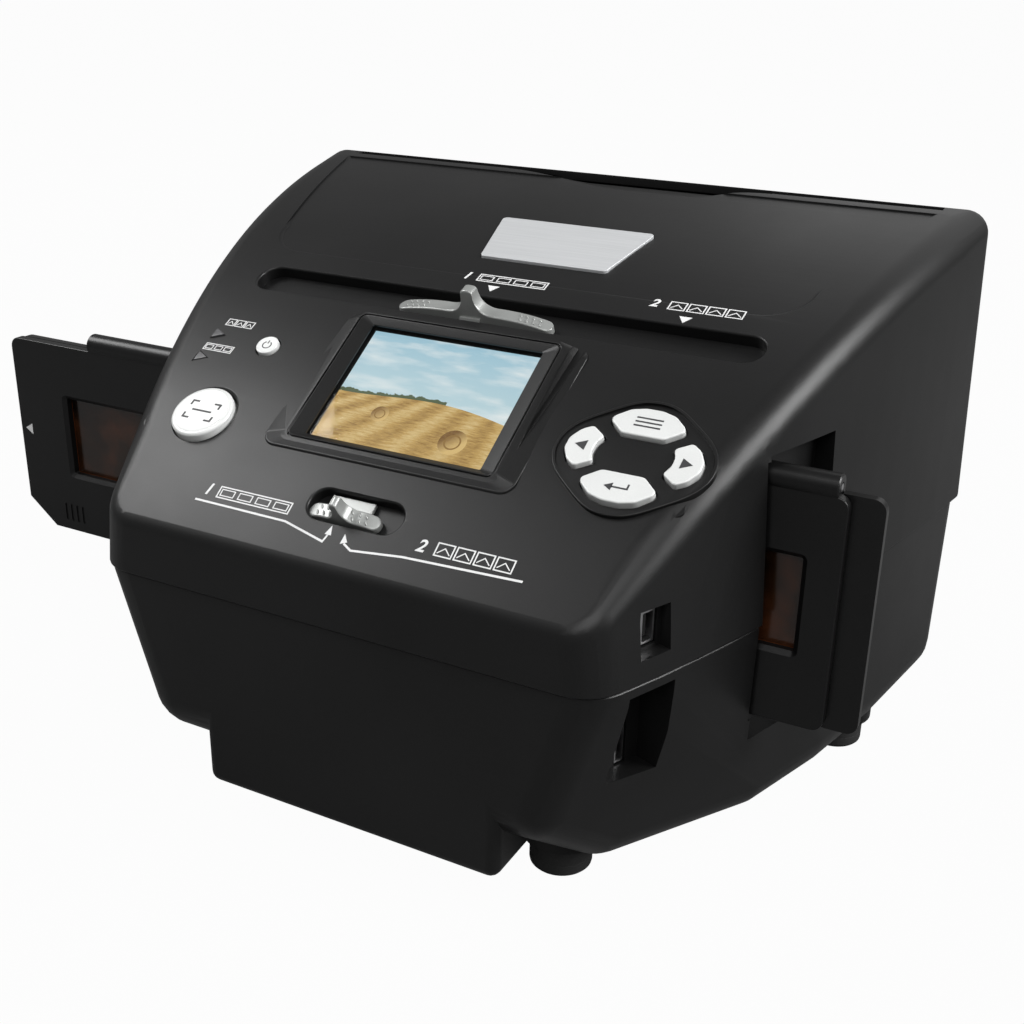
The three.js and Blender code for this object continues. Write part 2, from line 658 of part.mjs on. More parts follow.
function opticalFrame() {
  const outY = [guideY[0] - guide.thick, guideY[1] + guide.thick];
  const g = guide;
  const channel = block(-g.half, g.half, ...outY, g.low, g.frontTop);
  const rear = block(-g.half, g.right, guideY[1], outY[1], rail.low - wall * 2, g.rearTop);
  const front = block(-frontPlate.half, frontPlate.half, frontPlate.y0, frontPlate.y1,
    frontPlate.low, frontPlate.high);
  const sides = [-1, 1].map((side) => {
    const x = [side * arms.half, side * (arms.half - arms.thick)].sort((a, b) => a - b);
    return block(...x, frontPlate.y0, outY[0] + seat, frontPlate.low, frontPlate.high);
  });
  const middle = block(-arms.half, arms.half, midPlate.y0, midPlate.y1, midPlate.low, midPlate.high);
  const legs = [-1, 1].map((side) => {
    const x = [side * leg.x0, side * leg.x1].sort((a, b) => a - b);
    return block(...x, ...outY, underside + wall + seat, g.low + seat);
  });
  const brackets = [bracket.left, bracket.right].flatMap((x) => [rail.low, rail.high].map((z) =>
    block(...x, guideY[1], rail.y + rail.radius + wall, z - rail.radius - wall, z + rail.radius + wall)));
  const posts = [-1, 1].flatMap((side) => [-1, 1].map((level) => {
    const x = side * (sensorBoard.half - wall);
    const z = opticalHigh + level * sensorPost.rise;
    return bar(sensorPost.radius, [x, frontPlate.y0 + seat, z],
      [x, sensorBoard.y + sensorBoard.thick + seat, z], pinSides);
  }));
  const run = block(-farHalf, farHalf, ...guideY, holder.bottom - runGap, farTop);
  const view = block(-aperture.half, aperture.half, outY[0] - overrun, outY[1] + overrun,
    opticalHigh - aperture.tall, opticalHigh + aperture.tall);
  const lensRoom = bar(lens.radius + seat, [0, frontPlate.y0 - overrun, opticalHigh],
    [0, midPlate.y1 + overrun, opticalHigh]);
  const railRooms = [rail.low, rail.high].map((z) => bar(rail.radius + seat,
    [rail.left - seat, rail.y, z], [rail.right + seat, rail.y, z]));
  return cutAll(joinAll([channel, rear, front, ...sides, middle, ...legs, ...brackets, ...posts]),
    [run, view, lensRoom, ...railRooms]);
}

function lensBarrel() {
  const tube = bar(lens.radius, [0, lens.y0, opticalHigh], [0, lens.y1, opticalHigh]);
  const bore = bar(lens.bore, [0, lens.y0 - overrun, opticalHigh], [0, lens.y1 + overrun, opticalHigh]);
  const pin = bar(focusPin.radius, [0, focusPin.y, opticalHigh + lens.bore + focusPin.root],
    [0, focusPin.y, focusPin.top], pinSides);
  return tube.add(pin).subtract(bore);
}

function lensGlass() {
  const outer = lens.y1 - lens.glassSet;
  return bar(lens.bore - seat, [0, outer - lens.glassThick, opticalHigh], [0, outer, opticalHigh]);
}

function focusLever() {
  const stem = block(shortLever.x - shortStem.half, shortLever.x + shortStem.half,
    shortStem.y - shortStem.thick / 2, shortStem.y + shortStem.thick / 2,
    camPlate.low, deckHigh(shortStem.y) - leverRoot);
  const plate = block(-camPlate.half, camPlate.half, camPlate.y0, camPlate.y1, camPlate.low, camPlate.high);
  const run = Math.hypot(shortSlot.travel, lens.focus);
  const width = 2 * (focusPin.radius + seat);
  const turn = new THREE.Matrix4().makeRotationZ(Math.atan2(-lens.focus, shortSlot.travel));
  turn.setPosition(-shortSlot.travel / 2, focusPin.y + lens.focus / 2, 0);
  const slotCut = placed(slab(roundedRectangle(run + width, width, width / 2 - seat / 10), 0, farTop, 5), turn);
  return leverTop(shortLever, shortSlot).add(stem).add(plate).subtract(slotCut);
}

function sensorPlate() {
  const s = sensorBoard;
  const board = block(-s.half, s.half, s.y, s.y + s.thick, frontPlate.low, frontPlate.high);
  const [wide, tall] = s.chip;
  return board.add(block(-wide, wide, s.y, s.y + s.thick + s.chipThick, opticalHigh - tall, opticalHigh + tall));
}

// Screen stack, in the screen's own frame with z out of the glass

const bezel = {
  topHalf: 28.7, topLow: -20.4, topHigh: 21.6, proud: 0.8, baseHalf: 36, baseLow: -25.4, baseHigh: 25, base: -9,
};
const bezelTube = { half: 28.3, tall: 22.2, low: -7.5, wall: 1.9 };
const pane = { thick: 1.2 };
const module = { thick: 3.1 };
const lipUnder = -0.3;

function screenBezel() {
  const corners = [];
  const { topHalf, topLow, topHigh, proud, baseHalf, baseLow, baseHigh, base } = bezel;
  for (const side of [-1, 1]) {
    for (const v of [topLow, topHigh]) corners.push(new THREE.Vector3(side * topHalf, v, proud));
    for (const v of [baseLow, baseHigh]) corners.push(new THREE.Vector3(side * baseHalf, v, base));
  }
  const wedge = placed(solidOf(new ConvexGeometry(corners)), onScreen);
  const grown = hullOfBalls(upperBalls(), -seat);
  const tube = block(-bezelTube.half, bezelTube.half, -bezelTube.tall, bezelTube.tall, bezelTube.low, 0);
  const half = bezelTube.half - bezelTube.wall;
  const tall = bezelTube.tall - bezelTube.wall;
  const rebate = block(-half, half, -tall, tall, bezelTube.low - overrun, lipUnder);
  const picture = block(-screenWide / 2, screenWide / 2, -screenTall / 2, screenTall / 2, -overrun, overrun);
  return cutAll(wedge.subtract(grown).add(placed(tube, onScreen)),
    [placed(rebate, onScreen), placed(picture, onScreen)]);
}

function screenPart(top, thick) {
  const half = bezelTube.half - bezelTube.wall - seat;
  const tall = bezelTube.tall - bezelTube.wall - seat;
  return placed(block(-half, half, -tall, tall, top - thick, top), onScreen);
}

const paneTop = lipUnder - seat;
const moduleTop = paneTop - pane.thick - seat;
const screenBoardTop = moduleTop - module.thick - seat;

// Name plate, deck recess, photo slot

const plate = { x: 4, y: 61, topHalf: 23.3, lowHalf: 19, tall: 23, depth: 0.9, thick: 1.4 };
const recess = { frontHalf: 68, frontY: 42, rearHalf: 90, rearY: 106, radius: 12, depth: 0.8 };
const photoSlot = { half: 88, y0: 112.6, y1: 117, low: 121 };
const scoop = { left: -37, right: 47, lowLeft: 5, lowRight: 26, front: 103, floor: 142.5, bend: 14 };

function plateOutline(grow) {
  const shape = new THREE.Shape();
  const tall = plate.tall / 2 + grow;
  shape.moveTo(-plate.lowHalf - grow, -tall);
  shape.lineTo(plate.lowHalf + grow, -tall);
  shape.lineTo(plate.topHalf + grow, tall);
  shape.lineTo(-plate.topHalf - grow, tall);
  return shape;
}

const platePlace = onDeck(plate.x, plate.y);
const plateFloor = -recess.depth - plate.depth;

function recessCut() {
  const shape = new THREE.Shape();
  const r = recess;
  shape.moveTo(-r.rearHalf, r.rearY);
  shape.lineTo(-r.frontHalf, r.frontY + r.radius);
  shape.quadraticCurveTo(-r.frontHalf, r.frontY, -r.frontHalf + r.radius, r.frontY);
  shape.lineTo(r.frontHalf - r.radius, r.frontY);
  shape.quadraticCurveTo(r.frontHalf, r.frontY, r.frontHalf, r.frontY + r.radius);
  shape.lineTo(r.rearHalf, r.rearY);
  return slab(shape, screenHigh, farTop).subtract(hullOfBalls(upperBalls(), recess.depth));
}

function scoopShape(grow) {
  const s = scoop;
  const shape = new THREE.Shape();
  shape.moveTo(s.left - grow, photoSlot.y1);
  shape.lineTo(s.left - grow, photoSlot.y0 - grow);
  shape.bezierCurveTo(s.left + s.bend, photoSlot.y0 - grow, s.lowLeft - s.bend, s.front - grow,
    s.lowLeft, s.front - grow);
  shape.lineTo(s.lowRight, s.front - grow);
  shape.bezierCurveTo(s.lowRight + s.bend / 2, s.front - grow, s.right - s.bend, photoSlot.y0 - grow,
    s.right + grow, photoSlot.y0 - grow);
  shape.lineTo(s.right + grow, photoSlot.y1);
  return shape;
}

// Screws, posts and feet

const screwPlaces = [[-34, -34], [34, -34], [-70, 99], [70, 99]];
const screw = { headRadius: 2.8, headHigh: 2, radius: 1.5, top: 79, headAt: 34 };
const post = { radius: 4.2, counterbore: 3.3 };
const feetPlaces = [[-46, -10], [46, -10], [-90, 83], [90, 83]];
const foot = { radius: 8, high: 9.8, boss: 10, bossLow: 8.4, pocket: 10.1, lip: 1 };

function screwBody([x, y]) {
  return bar(screw.radius, [x, y, screw.headAt - screw.headHigh / 2], [x, y, screw.top], pinSides)
    .add(bar(screw.headRadius, [x, y, screw.headAt - screw.headHigh], [x, y, screw.headAt], headSides));
}

function footBody([x, y]) {
  const r = foot.radius;
  const points = [[0, 0], [r - foot.lip, 0], [r, foot.lip], [r, foot.high], [0, foot.high]];
  const body = solidOf(new THREE.LatheGeometry(points.map((p) => new THREE.Vector2(...p)), rodSides));
  return placed(body, new THREE.Matrix4().makeRotationX(Math.PI / 2)).translate([x, y, 0]);
}

// The shells

function upperShell() {
  const belowParting = block(-farHalf, farHalf, frontY - overrun, rearY + overrun, -overrun, partingHigh);
  const hollow = upperOuter.subtract(upperInner);
  const backing = [...bothSides(wallCut(pocket, wall)), wallCut(usbRecess, wall), channelBlock(longSlot, wall),
    channelBlock(shortSlot, wall), slab(scoopShape(wall), scoop.floor - wall, farTop)];
  const posts = screwPlaces.map(([x, y]) => bar(post.radius, [x, y, partingHigh], [x, y, farTop]));
  const inside = joinAll([...backing, ...posts]).intersect(upperOuter);
  const rims = placed(surroundRim(), rightPanel);
  const whole = joinAll([hollow, inside, rims,
    ...boardPosts(leftPanel, leftPosts), ...boardPosts(rightPanel, rightPosts)]);
  const keys = [0, 1, 2, 3].map((quarter) => slab(keyOutline(quarter, fitGap), -overrun, overrun));
  const screenHole = block(-bezelTube.half - fitGap, bezelTube.half + fitGap, -bezelTube.tall - fitGap,
    bezelTube.tall + fitGap, -cutDepth, cutDepth);
  const slot = block(-photoSlot.half, photoSlot.half, photoSlot.y0, photoSlot.y1, photoSlot.low, farTop);
  const badge = placed(slab(plateOutline(seat), plateFloor, overrun), platePlace);
  const screws = screwPlaces.map(([x, y]) =>
    bar(screw.radius + seat, [x, y, 0], [x, y, screw.top + seat], pinSides));
  return cutAll(whole, [belowParting, recessCut(), slab(scoopShape(0), scoop.floor, farTop), slot, badge,
    ...bothSides(wallCut(pocket)), ...bothSides(passageCut()), wallCut(usbRecess), socketRoom(usbSocket, usbOuter),
    placed(screenHole, onScreen), placed(hole(scanButton), leftPanel), placed(hole(powerButton), leftPanel),
    placed(lightHole(lights.photoV), leftPanel), placed(lightHole(lights.filmV), leftPanel),
    ...keys.map((key) => placed(key, rightPanel)), channelBlock(longSlot, 0), channelBlock(shortSlot, 0),
    stemCut(longSlot, longLever, longStem), stemCut(shortSlot, shortLever, shortStem), ...screws]);
}

function lowerShell() {
  const aboveParting = block(-farHalf, farHalf, frontY - overrun, rearY + overrun, partingHigh - seat, farTop);
  const skirtShape = roundedRectangle(2 * skirt.half, skirt.top - skirt.bottom, skirt.radius);
  const front = frontY + lowerInset;
  const skirtBody = upright(skirtShape, front, front + skirt.depth, 4)
    .translate([0, 0, (skirt.top + skirt.bottom) / 2]);
  const bosses = feetPlaces.map(([x, y]) => bar(foot.boss, [x, y, foot.bossLow], [x, y, underside + foot.boss]));
  const outer = joinAll([lowerHull, skirtBody, ...bosses]);
  const posts = screwPlaces.map(([x, y]) => bar(post.radius, [x, y, 0], [x, y, farTop]));
  const inside = joinAll([...bothSides(wallCut(pocket, wall)), wallCut(cardRecess, wall), ...posts])
    .intersect(lowerHull);
  const screws = screwPlaces.flatMap(([x, y]) => [bar(screw.radius + seat, [x, y, 0], [x, y, farTop], pinSides),
    bar(post.counterbore, [x, y, -overrun], [x, y, screw.headAt + seat])]);
  const pockets = feetPlaces.map(([x, y]) => bar(foot.radius + seat, [x, y, -overrun], [x, y, foot.pocket]));
  return cutAll(outer.subtract(lowerInner).add(inside), [aboveParting, ...bothSides(wallCut(pocket)),
    ...bothSides(passageCut()), wallCut(cardRecess), socketRoom(cardSocket, cardOuter), ...screws, ...pockets]);
}

// Boards and guides inside the lower shell

const mainBoard = { half: 62, y0: 36, y1: 84, low: 20, thick: 1.6, standoff: 3 };
const chips = [
  { x: -4, y: 59, wide: 20, deep: 18, high: 1.6 },
  { x: 27, y: 50, wide: 14, deep: 12, high: 1.2 },
  { x: -44, y: 74.5, wide: 12, deep: 9, high: 5 },
];
const photoGuide = { outer: 3, wide: 9, front: 2, low: 67.4, high: 134, thick: 2 };

function mainPlate() {
  const b = mainBoard;
  const board = block(-b.half, b.half, b.y0, b.y1, b.low, b.low + b.thick);
  const blocks = chips.map((chip) => block(chip.x - chip.wide / 2, chip.x + chip.wide / 2,
    chip.y - chip.deep / 2, chip.y + chip.deep / 2, b.low + seat, b.low + b.thick + chip.high));
  const feet = [-1, 1].flatMap((side) => [b.y0 + b.standoff, b.y1 - b.standoff].map((y) => {
    const x = side * (b.half - b.standoff * 2);
    return bar(b.standoff, [x, y, underside + wall + seat], [x, y, b.low + seat], pinSides);
  }));
  return joinAll([board, ...blocks, ...feet]);
}

function photoGuideBar() {
  const g = photoGuide;
  const outer = photoSlot.half + g.outer;
  const body = block(outer - g.wide, outer, photoSlot.y0 - g.front, rearY - wall - seat, g.low, g.high);
  const track = block(outer - g.wide - overrun, photoSlot.half + seat, photoSlot.y0, photoSlot.y1 + seat,
    g.low + g.thick, farTop);
  return body.subtract(track);
}

// The assembly, moved so that its box stands centred on the table

const group = new THREE.Group();
const add = (name, form, look) => group.add(piece(name, form, look));
add('upper_shell', upperShell(), plasticBlack);
add('lower_shell', lowerShell(), plasticBlack);
add('screen_bezel', screenBezel(), plasticBlack);
add('screen_window', screenPart(paneTop, pane.thick), { color: 0x20262c, roughness: 0.08, metalness: 0 });
add('screen_panel', screenPart(moduleTop, module.thick), { color: 0x8fb3cf, roughness: 0.3, metalness: 0 });
add('screen_board', screenPart(screenBoardTop, keyBoard.thick), circuitGreen);
add('name_plate', placed(slab(plateOutline(0), plateFloor + seat, plateFloor + seat + plate.thick), platePlace),
  silverPaint);
add('scan_button', placed(roundCap(scanButton), leftPanel), silverPaint);
add('power_button', placed(roundCap(powerButton), leftPanel), silverPaint);
add('right_button', placed(keyCap(0), rightPanel), silverPaint);
add('mode_button', placed(keyCap(1), rightPanel), silverPaint);
add('left_button', placed(keyCap(2), rightPanel), silverPaint);
add('enter_button', placed(keyCap(3), rightPanel), silverPaint);
add('photo_light', placed(lightPipe(lights.photoV), leftPanel), { color: 0x3a3d40, roughness: 0.3, metalness: 0 });
add('film_light', placed(lightPipe(lights.filmV), leftPanel), { color: 0x3a3d40, roughness: 0.3, metalness: 0 });
add('left_key_board', placed(boardWith(leftBoard,
  [[scanButton.u, scanButton.v], [powerButton.u, powerButton.v]]), leftPanel), circuitGreen);
add('right_key_board', placed(boardWith(rightBoard, keyPlaces), rightPanel), circuitGreen);
add('backlight_lever', backlightLever(), silverPaint);
add('backlight_carriage', carriageBody(), innerBlack);
add('backlight_diffuser', diffuserPlate(), { color: 0xf2f3f0, roughness: 0.6, metalness: 0 });
add('backlight_board', ledPlate(), circuitGreen);
add('upper_rail', railBar(rail.high), steel);
add('lower_rail', railBar(rail.low), steel);
add('optical_frame', opticalFrame(), innerBlack);
add('sensor_board', sensorPlate(), circuitGreen);
add('lens_barrel', lensBarrel(), innerBlack);
add('lens_glass', lensGlass(), { color: 0x55646e, roughness: 0.05, metalness: 0 });
add('focus_lever', focusLever(), silverPaint);
add('holder_front', frontLeaf(), plasticBlack);
add('holder_back', backLeaf(), plasticBlack);
add('holder_pin', hingePin(), steel);
add('film_strip', filmStrip(), { color: 0x6b3f1d, roughness: 0.25, metalness: 0 });
add('port_board', socketBoard(), circuitGreen);
add('card_socket', socket(cardSocket, cardOuter), steel);
add('usb_socket', socket(usbSocket, usbOuter), steel);
add('main_board', mainPlate(), circuitGreen);
add('photo_guide_right', photoGuideBar(), innerBlack);
add('photo_guide_left', flipped(photoGuideBar()), innerBlack);
const cornerNames = ['front_left', 'front_right', 'rear_left', 'rear_right'];
cornerNames.forEach((corner, i) => {
  add(`foot_${corner}`, footBody(feetPlaces[i]), rubberBlack);
  add(`screw_${corner}`, screwBody(screwPlaces[i]), steel);
});

const boxMiddleX = (holder.left + holder.backRight) / 2;
group.position.set(-boxMiddleX, -(frontY + rearY) / 2, 0);
export default group;
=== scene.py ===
import math
import bpy
import bmesh
from mathutils import Matrix, Vector


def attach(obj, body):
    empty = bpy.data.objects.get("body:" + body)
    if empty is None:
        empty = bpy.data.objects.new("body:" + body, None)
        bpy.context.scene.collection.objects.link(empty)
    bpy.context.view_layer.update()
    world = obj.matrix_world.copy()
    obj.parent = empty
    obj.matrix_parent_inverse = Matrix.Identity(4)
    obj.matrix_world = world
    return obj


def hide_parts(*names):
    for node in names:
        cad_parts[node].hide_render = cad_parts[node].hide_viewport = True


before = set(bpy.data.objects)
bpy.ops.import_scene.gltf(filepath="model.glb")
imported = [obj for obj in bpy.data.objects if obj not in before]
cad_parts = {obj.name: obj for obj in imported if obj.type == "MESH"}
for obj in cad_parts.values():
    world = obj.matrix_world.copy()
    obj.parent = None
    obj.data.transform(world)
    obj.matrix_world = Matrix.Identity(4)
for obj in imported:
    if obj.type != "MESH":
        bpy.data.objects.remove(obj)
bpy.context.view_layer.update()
scene = bpy.context.scene
print("frame loaded")

# Everything is drawn in millimetres, x and y from the middle of the screen and z from the feet,
# and brought to the frame's place and metres when a piece is finished.
mm = 0.001
seat = 0.3
wall = 2.4
overrun = 6.0
throughDeck = 12.0
beyondWall = 40.0
toRow = Matrix.Scale(mm, 4) @ Matrix.Translation((20.55, -39.0, 0.0))

# Camera, light and floor

view = dict(place=(163.9, -264.7, 211.7), azimuth=27.72, elevation=22.62, roll=-1.14, focal=47.05)


def makeCamera():
    azimuth, elevation, roll = (math.radians(view[k]) for k in ("azimuth", "elevation", "roll"))
    back = Vector((math.sin(azimuth) * math.cos(elevation), -math.cos(azimuth) * math.cos(elevation),
                   math.sin(elevation)))
    side = (-back).cross(Vector((0, 0, 1))).normalized()
    down = (-back).cross(side)
    right = side * math.cos(roll) + down * math.sin(roll)
    up = side * math.sin(roll) - down * math.cos(roll)
    data = bpy.data.cameras.new("camera")
    data.lens = view["focal"]
    data.sensor_width = 36.0
    data.clip_start = 0.01
    camera = bpy.data.objects.new("camera", data)
    scene.collection.objects.link(camera)
    turn = Matrix((right, up, back)).transposed().to_4x4()
    camera.matrix_world = Matrix.Translation(toRow @ Vector(view["place"])) @ turn
    scene.camera = camera


lamps = [
    dict(name="keyLamp", place=(-0.9, -0.22, 1.0), aim=(0, 0, 0.09), size=0.58, power=10.0),
    dict(name="edgeLamp", place=(1.02, 0.2, 0.68), aim=(0.05, 0, 0.1), size=0.56, power=15.0),
    dict(name="fillLamp", place=(0.42, -0.84, 1.14), aim=(0, 0, 0.09), size=1.0, power=11.0),
    dict(name="rearLamp", place=(0.15, 0.85, 0.75), aim=(0, 0, 0.1), size=0.9, power=1.5),
]


def makeLamps():
    for lamp in lamps:
        data = bpy.data.lights.new(lamp["name"], "AREA")
        data.shape = "SQUARE"
        data.size = lamp["size"]
        data.energy = lamp["power"]
        made = bpy.data.objects.new(lamp["name"], data)
        scene.collection.objects.link(made)
        away = Vector(lamp["place"]) - Vector(lamp["aim"])
        turn = away.to_track_quat("Z", "Y").to_matrix().to_4x4()
        made.matrix_world = Matrix.Translation(lamp["place"]) @ turn


# Shader tools: a wire is a socket whose sums and products add Math nodes


class Wire:
    def __init__(self, tree, socket=None):
        self.tree = tree
        self.socket = socket

    def node(self, kind, settings=None, values=None, output=0):
        made = self.tree.nodes.new(kind)
        for name, value in (settings or {}).items():
            if name == "stops":
                ramp = made.color_ramp
                while len(ramp.elements) < len(value):
                    ramp.elements.new(0.5)
                for element, (place, color) in zip(ramp.elements, value):
                    element.position = place
                    element.color = (*color, 1.0) if len(color) == 3 else color
            else:
                setattr(made, name, value)
        for key, value in (values or {}).items():
            socket = made.inputs[key]
            if isinstance(value, Wire):
                self.tree.links.new(value.socket, socket)
            else:
                socket.default_value = value
        return Wire(self.tree, made.outputs[output] if len(made.outputs) else None)

    def math(self, operation, *values):
        return self.node("ShaderNodeMath", {"operation": operation}, dict(enumerate(values)))

    def __add__(self, other):
        return self.math("ADD", self, other)

    __radd__ = __add__

    def __sub__(self, other):
        return self.math("SUBTRACT", self, other)

    def __rsub__(self, other):
        return self.math("SUBTRACT", other, self)

    def __mul__(self, other):
        return self.math("MULTIPLY", self, other)

    __rmul__ = __mul__

    def __truediv__(self, other):
        return self.math("DIVIDE", self, other)

    def __lt__(self, other):
        return self.math("LESS_THAN", self, other)

    def __gt__(self, other):
        return self.math("GREATER_THAN", self, other)

    def clamp(self):
        return self.node("ShaderNodeClamp", None, {"Value": self})

    def blend(self, first, second):
        # this wire is the share of the second colour
        return self.node("ShaderNodeMix", {"data_type": "RGBA"}, {0: self, 6: first, 7: second}, 2)

    def noise(self, coords, scale, detail=4.0, roughness=0.5):
        return self.node("ShaderNodeTexNoise", None,
                         {"Vector": coords, "Scale": scale, "Detail": detail, "Roughness": roughness}, "Fac")

    def ramp(self, *stops):
        return self.node("ShaderNodeValToRGB", {"stops": stops}, {"Fac": self})

    def bump(self, height, strength, distance):
        return self.node("ShaderNodeBump", None,
                         {"Height": height, "Strength": strength, "Distance": distance})


def startMaterial(name):
    material = bpy.data.materials.new(name)
    material.use_nodes = True
    tree = material.node_tree
    tree.nodes.clear()
    wire = Wire(tree)
    coords = wire.node("ShaderNodeTexCoord", None, None, "Object")
    return material, wire, coords


def finishMaterial(material, wire, settings):
    shader = wire.node("ShaderNodeBsdfPrincipled", None, settings)
    wire.node("ShaderNodeOutputMaterial", None, {"Surface": shader})
    return material


def grey(value):
    return (value, value, value, 1.0)


def makeMouldedPlastic(name, dark, pale, rough, grain=0.22, smudge=0.08, shine=0.3):
    # Fine spark-eroded grain, faint handling smudges and a little dust in the finish
    material, wire, coords = startMaterial(name)
    cloud = wire.noise(coords, 22.0, 5.0)
    speck = wire.noise(coords, 2600.0, 2.0, 0.6)
    color = (cloud * 0.6 + speck * 0.4).ramp((0.3, dark), (0.75, pale))
    rub = wire.noise(coords, 65.0, 6.0, 0.65)
    roughness = (rub - 0.5) * smudge + rough + (speck - 0.5) * 0.06
    normal = wire.bump(speck, grain, 0.00006)
    return finishMaterial(material, wire, {
        "Base Color": color, "Roughness": roughness, "Normal": normal, "Specular IOR Level": shine})


def makeSilverLacquer(name, tone, rough, metal):
    # Satin lacquer with fine flake
    material, wire, coords = startMaterial(name)
    flake = wire.noise(coords, 5200.0, 2.0, 0.7)
    cloud = wire.noise(coords, 90.0, 3.0)
    color = (flake * 0.7 + cloud * 0.3).ramp((0.3, tuple(c * 0.86 for c in tone)), (0.7, tone))
    normal = wire.bump(flake, 0.12, 0.00004)
    return finishMaterial(material, wire, {
        "Base Color": color, "Metallic": metal, "Roughness": (flake - 0.5) * 0.1 + rough, "Normal": normal,
        "Coat Weight": 0.2, "Coat Roughness": 0.3})


def makeBrushedPlate(name):
    material, wire, coords = startMaterial(name)
    stretched = wire.node("ShaderNodeMapping", None, {"Vector": coords, "Scale": (40.0, 4200.0, 4200.0)})
    lines = wire.noise(stretched, 1.0, 3.0, 0.6)
    color = lines.ramp((0.3, (0.5, 0.51, 0.52)), (0.7, (0.6, 0.61, 0.62)))
    normal = wire.bump(lines, 0.1, 0.00004)
    return finishMaterial(material, wire, {
        "Base Color": color, "Metallic": 0.3, "Roughness": (lines - 0.5) * 0.15 + 0.4, "Normal": normal})


def makeSteel(name, tone=0.55, rough=0.3):
    material, wire, coords = startMaterial(name)
    cloud = wire.noise(coords, 300.0, 5.0, 0.6)
    fine = wire.noise(coords, 3000.0, 2.0)
    color = cloud.ramp((0.3, (tone * 0.85,) * 3), (0.7, (tone, tone, tone * 1.02)))
    return finishMaterial(material, wire, {
        "Base Color": color, "Metallic": 1.0, "Roughness": (cloud - 0.5) * 0.15 + rough,
        "Normal": wire.bump(fine, 0.08, 0.00003)})


def makeRubber(name):
    material, wire, coords = startMaterial(name)
    fine = wire.noise(coords, 1800.0, 4.0, 0.7)
    color = fine.ramp((0.3, (0.007, 0.007, 0.007)), (0.8, (0.02, 0.02, 0.02)))
    return finishMaterial(material, wire, {
        "Base Color": color, "Roughness": (fine - 0.5) * 0.15 + 0.82,
        "Normal": wire.bump(fine, 0.3, 0.00008)})


def makeCircuit(name):
    # Solder mask over copper tracks, with tinned pads
    material, wire, coords = startMaterial(name)
    tracks = wire.node("ShaderNodeTexBrick", {"offset": 0.5}, {
        "Vector": coords, "Scale": 260.0, "Mortar Size": 0.035, "Brick Width": 1.7, "Row Height": 0.42,
        "Color1": grey(0.0), "Color2": grey(0.0), "Mortar": grey(1.0)}, "Fac")
    dots = wire.node("ShaderNodeTexVoronoi", None, {
        "Vector": coords, "Scale": 420.0, "Randomness": 0.35}, "Distance")
    pads = dots < 0.16
    mask = tracks.blend((0.008, 0.075, 0.026, 1.0), (0.02, 0.16, 0.06, 1.0))
    color = pads.blend(mask, (0.6, 0.58, 0.5, 1.0))
    return finishMaterial(material, wire, {
        "Base Color": color, "Metallic": pads * 0.9, "Roughness": 0.42 - pads * 0.14,
        "Normal": wire.bump(tracks + pads, 0.3, 0.00005), "Coat Weight": 0.3, "Coat Roughness": 0.2})


def makeWindow(name, tint, strength):
    # Clear moulded window: mostly seen through, with a polished face
    material, wire, coords = startMaterial(name)
    haze = wire.noise(coords, 40.0, 3.0)
    clear = wire.node("ShaderNodeBsdfTransparent", None, {"Color": tint})
    gloss = wire.node("ShaderNodeBsdfGlossy", None, {"Color": grey(1.0), "Roughness": 0.04})
    share = (haze * 0.2 + 0.9) * strength
    shader = wire.node("ShaderNodeMixShader", None, {0: share, 1: clear, 2: gloss})
    wire.node("ShaderNodeOutputMaterial", None, {"Surface": shader})
    return material


def makeOpal(name):
    material, wire, coords = startMaterial(name)
    fine = wire.noise(coords, 900.0, 3.0)
    color = fine.ramp((0.3, (0.78, 0.79, 0.77)), (0.7, (0.87, 0.88, 0.86)))
    return finishMaterial(material, wire, {
        "Base Color": color, "Roughness": (fine - 0.5) * 0.1 + 0.55, "Subsurface Weight": 0.15,
        "Subsurface Radius": (0.002, 0.002, 0.002)})


def makeInk(name, tone):
    material, wire, coords = startMaterial(name)
    fine = wire.noise(coords, 3500.0, 3.0, 0.7)
    color = fine.ramp((0.2, tuple(c * 0.85 for c in tone)), (0.6, tone))
    return finishMaterial(material, wire, {"Base Color": color, "Roughness": (fine - 0.5) * 0.1 + 0.5})


def makeFilm(name, frames):
    # Colour negative: an orange base, darker exposed frames with soft blocked shapes in them
    material, wire, coords = startMaterial(name)
    split = wire.node("ShaderNodeSeparateXYZ", None, {"Vector": coords})
    across = Wire(wire.tree, split.socket.node.outputs["X"])
    high = Wire(wire.tree, split.socket.node.outputs["Z"])
    step = wire.math("FRACT", (across - frames["first"]) / frames["pitch"])
    inside = (step > frames["edge"]) * (step < 1.0 - frames["edge"])
    inside = inside * (high > frames["low"]) * (high < frames["high"])
    shapes = wire.noise(coords, 70.0, 4.0, 0.55)
    picture = shapes.ramp((0.35, (0.004, 0.002, 0.001)), (0.5, (0.016, 0.006, 0.002)),
                          (0.7, (0.06, 0.018, 0.006)))
    color = inside.blend((0.1, 0.03, 0.01, 1.0), picture)
    return finishMaterial(material, wire, {
        "Base Color": color, "Roughness": shapes * 0.08 + 0.16, "Coat Weight": 0.15, "Coat Roughness": 0.12,
        "Alpha": 0.99 - shapes * 0.04})


